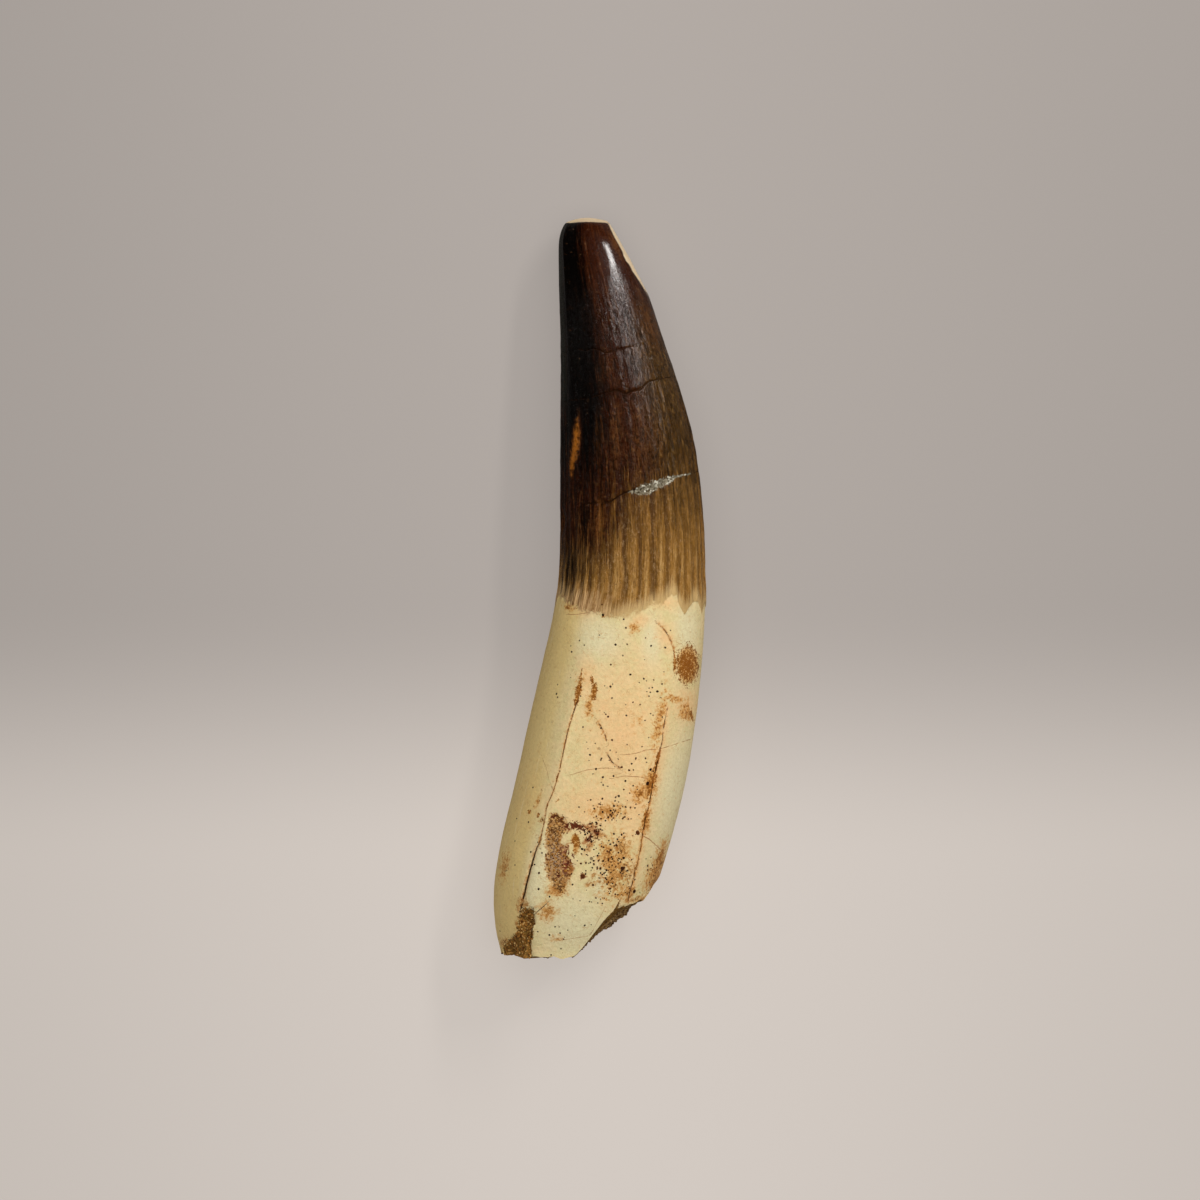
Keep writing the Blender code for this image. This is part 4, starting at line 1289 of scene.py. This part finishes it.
# Grains on the tooth. Dark mineral specks are scattered over the root, calcite has grown
# in the lowest crack of the crown, and sand sticks to the soil patch. They are laid on the
# finished surface, and a tree of nodes makes each a small stone sunk to its middle.
SPECK, CALCITE_GRAIN, SAND = 0.0, 1.0, 2.0
SPECKS = (
    (657.4, 691.4, 2.2), (650.7, 769.6, 2.8), (637.7, 832.7, 3.8), (643.8, 678.7, 2.0), (662, 684, 1.5),
    (612, 698, 1.7), (583, 727, 1.8), (612, 740, 1.8), (596, 769, 1.8), (636, 758, 1.6),
    (615.5, 644.7, 2.2), (614, 806, 2.2), (618.7, 796, 2.4), (630.5, 807.5, 2.0), (624.7, 817, 2.0),
    (616.6, 845.5, 2.4), (618.5, 852.7, 2.0), (623.6, 858, 2.4), (622.6, 868.4, 3.6), (603, 861, 2.2),
    (593, 885, 2.2), (582.4, 876, 3.6), (582, 849, 2.2), (634.3, 891.4, 3.6), (647.7, 865.6, 2.2),
    (549.4, 935, 1.8), (539, 873, 2.0), (538.6, 889, 2.0), (515, 865, 1.6), (515, 841, 1.5),
    (500, 931, 1.6), (551, 955, 1.6), (647.6, 783.4, 3.2), (603, 615, 2.6),
)
SPECKLED = (
    (615, 868, 20, 32, 110), (612, 812, 26, 12, 50), (590, 850, 12, 26, 40), (655, 878, 8, 18, 26),
    (592, 830, 12, 9, 40), (620, 770, 40, 40, 40), (600, 690, 45, 70, 30), (650, 690, 20, 60, 26),
    (560, 920, 40, 30, 16), (530, 850, 20, 50, 12),
)
SPECK_SPREAD = 1.25
SPECK_WIDTHS, CALCITE_WIDTHS, SAND_WIDTHS = (1.1, 2.4), (1.2, 2.4), (1.1, 2.5)
CALCITE_GRAINS, PATCH_GRAINS, NOTCH_GRAINS = 210, 210, 420
STREWING = np.random.default_rng(23)

places = [(x, y, SPECK_SPREAD * width, SPECK) for x, y, width in SPECKS]
for middle_x, middle_y, half_width, half_height, count in SPECKLED:
    aside, along = STREWING.normal(0, 0.55, count), STREWING.normal(0, 0.55, count)
    for x, y, width in zip(aside, along, STREWING.uniform(*SPECK_WIDTHS, count)):
        places.append((middle_x + x * half_width, middle_y + y * half_height, width, SPECK))
vein = np.array(CALCITE, float)
for at in STREWING.uniform(0, 1, CALCITE_GRAINS):
    x, y, width = (np.interp(at**0.8, np.linspace(0, 1, len(vein)), vein[:, i]) for i in range(3))
    places.append(
        (x, y + STREWING.uniform(-0.55, 0.55) * width, STREWING.uniform(*CALCITE_WIDTHS), CALCITE_GRAIN)
    )
for outline, count in ((SOIL_OUTLINE, PATCH_GRAINS), (NOTCH, NOTCH_GRAINS)):
    corners = np.array(outline)
    spots = STREWING.uniform(corners.min(axis=0), corners.max(axis=0), (4 * count, 2))
    inside = in_outline(outline, spots[:, 0], spots[:, 1]) > 0
    places += [(x, y, STREWING.uniform(*SAND_WIDTHS), SAND) for x, y in spots[inside][:count]]

surface_mesh = bmesh.new()
surface_mesh.from_mesh(tooth.data)
bmesh.ops.scale(surface_mesh, vec=(1 / MM,) * 3, verts=surface_mesh.verts)
finished_tooth = BVHTree.FromBMesh(surface_mesh)
surface_mesh.free()
laid_grains = []
for x, y, width, kind in places:
    met, facing, _, _ = finished_tooth.ray_cast(eye, sight(x, y))
    if met is not None:
        laid_grains.append((met * MM, facing, width * PIXEL / 2, kind))
grain_places = bpy.data.meshes.new("mineral_grains")
grain_places.from_pydata([grain[0] for grain in laid_grains], [], [])
facings = grain_places.attributes.new("facing", "FLOAT_VECTOR", "POINT")
facings.data.foreach_set("vector", np.array([grain[1] for grain in laid_grains], np.float32).ravel())
for name, column in (("grain_size", 2), ("grain_kind", 3)):
    stored = grain_places.attributes.new(name, "FLOAT", "POINT")
    stored.data.foreach_set("value", np.array([grain[column] for grain in laid_grains], np.float32))


def random_number(tree, low, high, seed):
    return node(
        tree, "FunctionNodeRandomValue", {2: low, 3: high, "Seed": seed}, output=1, data_type="FLOAT",
    )


def tinted(strewn, darkest):
    """Strewn grains, each with a random number for its colour."""
    tree = tree_of(strewn)
    tints = {"Geometry": strewn, "Name": "grain_tint", "Value": random_number(tree, darkest, 1.0, 9)}
    return node(tree, "GeometryNodeStoreNamedAttribute", tints, data_type="FLOAT", domain="INSTANCE")


mineral_grain = bpy.data.materials.new("Mineral grains")
GRAIN_SIZES = {"Speck height": 0.12, "Grain height": 0.6, "Seed": 4}
grain_tree, given, result = new_tree("Strewn grains", GRAIN_SIZES)
grain_shape = node(grain_tree, "GeometryNodeMeshIcoSphere", {"Radius": MM, "Subdivisions": 1})
grain_size = stored_field(grain_tree, "grain_size")
kind = stored_field(grain_tree, "grain_kind")
longer = random_number(grain_tree, 0.75, 1.35, given.outputs["Seed"])
upright_share = between(kind, 0.2, 0.8, given.outputs["Speck height"], given.outputs["Grain height"])
grain_scale = node(grain_tree, "ShaderNodeCombineXYZ", {
    0: product(grain_size, longer), 1: grain_size, 2: product(grain_size, upright_share),
})
facing = stored_field(grain_tree, "facing", "FLOAT_VECTOR")
outwards = node(grain_tree, "FunctionNodeAlignRotationToVector", {"Vector": facing}, axis="Z")
spin = node(grain_tree, "FunctionNodeRandomValue", {0: (0, 0, 0), 1: (0, 0, 6.3)}, data_type="FLOAT_VECTOR")
spun = node(grain_tree, "FunctionNodeRotateRotation", {
    "Rotation": outwards, "Rotate By": node(grain_tree, "FunctionNodeEulerToRotation", {0: spin}),
}, rotation_space="LOCAL")
strewn = node(grain_tree, "GeometryNodeInstanceOnPoints", {
    "Points": given.outputs["Geometry"], "Instance": grain_shape, "Scale": grain_scale, "Rotation": spun,
})
end_tree(grain_tree, tinted(strewn, 0.0), mineral_grain, result)
grains = grown("mineral_grains", grain_places, grain_tree, GRAIN_SIZES)
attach(grains, "root")

mineral_grain.use_nodes = True
tree = mineral_grain.node_tree
shader = tree.nodes["Principled BSDF"]
kind = attribute(tree, "grain_kind")
tint = attribute(tree, "grain_tint")
speck_colour = over(between(tint, 0.6, 1.0), (0.022, 0.005, 0.001), (0.095, 0.024, 0.004))
calcite_colour = over(between(tint, 0.45, 0.85), (0.17, 0.145, 0.095), (0.66, 0.62, 0.50))
sand_colour = over(between(tint, 0.1, 0.5), (0.085, 0.026, 0.005), (0.36, 0.15, 0.026))
sand_colour = over(between(tint, 0.65, 0.95), sand_colour, (0.60, 0.37, 0.13))
colour = over(between(kind, 0.3, 0.7), speck_colour, calcite_colour)
colour = over(between(kind, 1.3, 1.7), colour, sand_colour)
tree.links.new(colour, shader.inputs["Base Color"])
tree.links.new(between(tint, 0.0, 1.0, 0.85, 0.6), shader.inputs["Roughness"])
shader.inputs["Specular IOR Level"].default_value = 0.15


# The sandstone. Brown river sand turned to stone inside the pulp cavity; it shows at the
# broken end and in the notch of the wall. Its solid is remeshed finely, roughened
# by nodes and strewn with separate grains.
sandstone = bpy.data.materials.new("Sandstone")
STONE_SHOWS_FROM = 90.5
STONE_UNDER_SKIN = 1.9
stone_mesh = bmesh.new()
stone_mesh.from_mesh(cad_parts["sandstone_infill"].data)
bmesh.ops.remove_doubles(stone_mesh, verts=stone_mesh.verts, dist=0.001 * MM)
stone_corners = np.array([corner.co for corner in stone_mesh.verts]) / MM
stone_from_tip, stone_angle = tip_y - stone_corners[:, 1], angle_of(stone_corners)
stone_middle = place(stone_from_tip, stone_angle, 0.0)
wall_there = place(stone_from_tip, stone_angle, share_at(stone_from_tip, stone_angle))
wall_away = np.linalg.norm(wall_there - stone_middle, axis=1)
stone_away = np.linalg.norm(stone_corners - stone_middle, axis=1)
kept = np.minimum(1.0, (wall_away - STONE_UNDER_SKIN) / np.maximum(stone_away, 0.01))
under_notch = (stone_angle > NOTCH_FROM - NOTCH_REACH) & (stone_angle < NOTCH_TO + 5)
under_notch &= stone_from_tip > STONE_SHOWS_FROM
sunk_corners = stone_middle + (stone_corners - stone_middle) * kept[:, None]
for corner, sunk, in_it in zip(stone_mesh.verts, sunk_corners, under_notch):
    if in_it:
        corner.co = sunk * MM
stone_base = bpy.data.meshes.new("sandstone_core")
stone_mesh.to_mesh(stone_base)
stone_mesh.free()
STONE_SIZES = {
    "Cell": 0.3, "Lump height": 0.5, "Grain height": 0.25, "Grains per square millimetre": 7.0,
    "Smallest grain": 0.09, "Largest grain": 0.24, "Seed": 3,
}
stone_tree, given, result = new_tree("Sandstone", STONE_SIZES)
size = given.outputs
cell = product(size["Cell"], MM)
volume = node(stone_tree, "GeometryNodeMeshToVolume", {
    "Mesh": given.outputs["Geometry"], "Voxel Size": cell, "Interior Band Width": 0.8 * MM,
}, resolution_mode="VOXEL_SIZE")
remeshed = node(stone_tree, "GeometryNodeVolumeToMesh", {
    "Volume": volume, "Voxel Size": cell, "Threshold": 0.1,
}, resolution_mode="VOXEL_SIZE")
position = place_in_millimetres(stone_tree)
lumps = product(less(noise(position, 0.7), 0.62), size["Lump height"])
bits = product(less(noise(position, 2.4), 0.5), size["Grain height"])
offset = scaled(node(stone_tree, "GeometryNodeInputNormal"), product(sum_of(lumps, bits), MM))
roughened = node(stone_tree, "GeometryNodeSetPosition", {"Geometry": remeshed, "Offset": offset})
stone_y = node(stone_tree, "ShaderNodeSeparateXYZ", {0: position}, output="Y")
shows = maths("LESS_THAN", stone_y, tip_y - STONE_SHOWS_FROM)
spots = node(stone_tree, "GeometryNodeDistributePointsOnFaces", {
    "Mesh": roughened, "Density": product(shows, size["Grains per square millimetre"], 1 / MM**2),
    "Seed": size["Seed"],
})
turned = node(
    stone_tree, "FunctionNodeRandomValue", {0: (0, 0, 0), 1: (6.3, 6.3, 6.3)}, data_type="FLOAT_VECTOR",
)
strewn = node(stone_tree, "GeometryNodeInstanceOnPoints", {
    "Points": spots,
    "Instance": node(stone_tree, "GeometryNodeMeshIcoSphere", {"Radius": MM, "Subdivisions": 1}),
    "Scale": random_number(stone_tree, size["Smallest grain"], size["Largest grain"], size["Seed"]),
    "Rotation": turned,
})
joined = stone_tree.nodes.new("GeometryNodeJoinGeometry")
stone_tree.links.new(tinted(strewn, 0.2), joined.inputs[0])
stone_tree.links.new(roughened, joined.inputs[0])
end_tree(stone_tree, joined.outputs[0], sandstone, result)
stone = grown("sandstone_core", stone_base, stone_tree, STONE_SIZES)
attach(stone, "root")
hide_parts("sandstone_infill")

sandstone.use_nodes = True
tree = sandstone.node_tree
shader = tree.nodes["Principled BSDF"]
mineral_here = place_group(
    tree, mineral, {"Broad size": 2.0, "Fine size": 0.22, "Dot spacing": 0.6, "Dotted": 0.5},
)
colour = over(mineral_here["Broad"], (0.24, 0.125, 0.035), (0.42, 0.25, 0.085))
colour = over(between(mineral_here["Fine"], 0.3, 0.8, 0.0, 0.7), colour, (0.32, 0.18, 0.055))
tint = attribute(tree, "grain_tint")
colour = over(between(tint, 0.2, 0.6), colour, (0.13, 0.062, 0.018))
colour = over(between(tint, 0.7, 1.0), colour, (0.55, 0.36, 0.15))
colour = over(product(mineral_here["Dots"], 0.7), colour, (0.035, 0.02, 0.012))
tree.links.new(colour, shader.inputs["Base Color"])
tree.links.new(between(mineral_here["Fine"], 0.0, 1.0, 0.95, 0.7), shader.inputs["Roughness"])
shader.inputs["Specular IOR Level"].default_value = 0.15
bump = node(
    tree, "ShaderNodeBump", {"Strength": 0.8, "Distance": 0.08 * MM, "Height": mineral_here["Fine"]},
)
tree.links.new(bump, shader.inputs["Normal"])


# The floor and the light. A pale seamless floor, a large soft light overhead and a narrow one on the right,
# which draws the bright line along the enamel. The floor glows as painted light, so the tooth casts only faint
# shadows on it. The glow is painted darker towards +y and towards the left and right, as painted falloff of the
# light. It is also dimmer where the floor is seen in reflections.
FLOOR_HALF = 3000.0
FLOOR_LEVEL = -0.02
floor_mesh = bpy.data.meshes.new("floor")
sides = ((-1, -1), (1, -1), (1, 1), (-1, 1))
corners = [(x * FLOOR_HALF * MM, y * FLOOR_HALF * MM, FLOOR_LEVEL * MM) for x, y in sides]
floor_mesh.from_pydata(corners, [], [(0, 1, 2, 3)])
floor = bpy.data.objects.new("floor", floor_mesh)
bpy.context.scene.collection.objects.link(floor)
FLOOR_FAR_SHADE, FLOOR_NEAR_LIGHT = (0.435, 0.392, 0.362), (0.665, 0.603, 0.553)
DARK = (0.0, 0.0, 0.0)
FLOOR_CHANGES = (-1.0, -40.0)
FLOOR_GLOW = 0.70
FLOOR_MIRRORED = 0.3
SIDE_SHADE = 0.13
paint = bpy.data.materials.new("Pale floor")
paint.use_nodes = True
tree = paint.node_tree
shader = tree.nodes["Principled BSDF"]
floor_place = in_millimetres(tree)
floor_x = maths("ABSOLUTE", node(tree, "ShaderNodeSeparateXYZ", {0: floor_place}, output="X"))
floor_y = node(tree, "ShaderNodeSeparateXYZ", {0: floor_place}, output="Y")
# Painted light falloff: the floor's glow is darker towards +y.
tone = over(between(floor_y, *FLOOR_CHANGES), FLOOR_FAR_SHADE, FLOOR_NEAR_LIGHT)
# Painted shade: the floor's glow darkens towards the left and right.
tone = over(between(floor_x, 0.0, 110.0, 0.0, SIDE_SHADE), tone, DARK)
tree.links.new(tone, shader.inputs["Emission Color"])
mirrored = node(tree, "ShaderNodeLightPath", output="Is Glossy Ray")
glow = between(mirrored, 0.0, 1.0, FLOOR_GLOW, FLOOR_GLOW * FLOOR_MIRRORED)
tree.links.new(glow, shader.inputs["Emission Strength"])
lit_tone = over(between(mirrored, 0.0, 1.0, FLOOR_GLOW, 0.9), tone, DARK)
tree.links.new(lit_tone, shader.inputs["Base Color"])
shader.inputs["Roughness"].default_value = 0.85
shader.inputs["Specular IOR Level"].default_value = 0.0
floor_mesh.materials.append(paint)


def soft_light(name, direction, distance, size, power, colour=(1, 1, 1), shines=True):
    """A rectangular light that looks at the tooth from a direction, sizes in millimetres.
    Its second size is measured along the tooth, as far as the direction allows."""
    lamp = bpy.data.lights.new(name, "AREA")
    lamp.shape = "RECTANGLE"
    lamp.size, lamp.size_y = size[0] * MM, size[1] * MM
    lamp.energy = power
    lamp.color = colour
    away = Vector(direction).normalized()
    across_tooth = Vector((0, 1, 0)).cross(away).normalized()
    along_light = away.cross(across_tooth)
    lit = bpy.data.objects.new(name, lamp)
    turn = Matrix((across_tooth, along_light, away)).transposed().to_4x4()
    lit.matrix_world = Matrix.Translation(away * distance * MM) @ turn
    lit.visible_glossy = shines
    bpy.context.scene.collection.objects.link(lit)


soft_light("Overhead", (0.02, 0.12, 1.0), 800.0, (900.0, 900.0), 5.4, shines=False)
soft_light("Bright strip", (0.80, 1.00, 1.0), 600.0, (52.0, 300.0), 1.75, colour=(1.0, 0.98, 0.95))
soft_light("Left strip", (-1.6, -0.3, 0.6), 700.0, (100.0, 400.0), 0.05)
world = bpy.data.worlds.new("Room")
world.use_nodes = True
world.node_tree.nodes["Background"].inputs["Color"].default_value = (1.0, 1.0, 1.0, 1.0)
world.node_tree.nodes["Background"].inputs["Strength"].default_value = 0.12
world.cycles_visibility.glossy = False
bpy.context.scene.world = world
bpy.context.scene.view_settings.view_transform = "Standard"
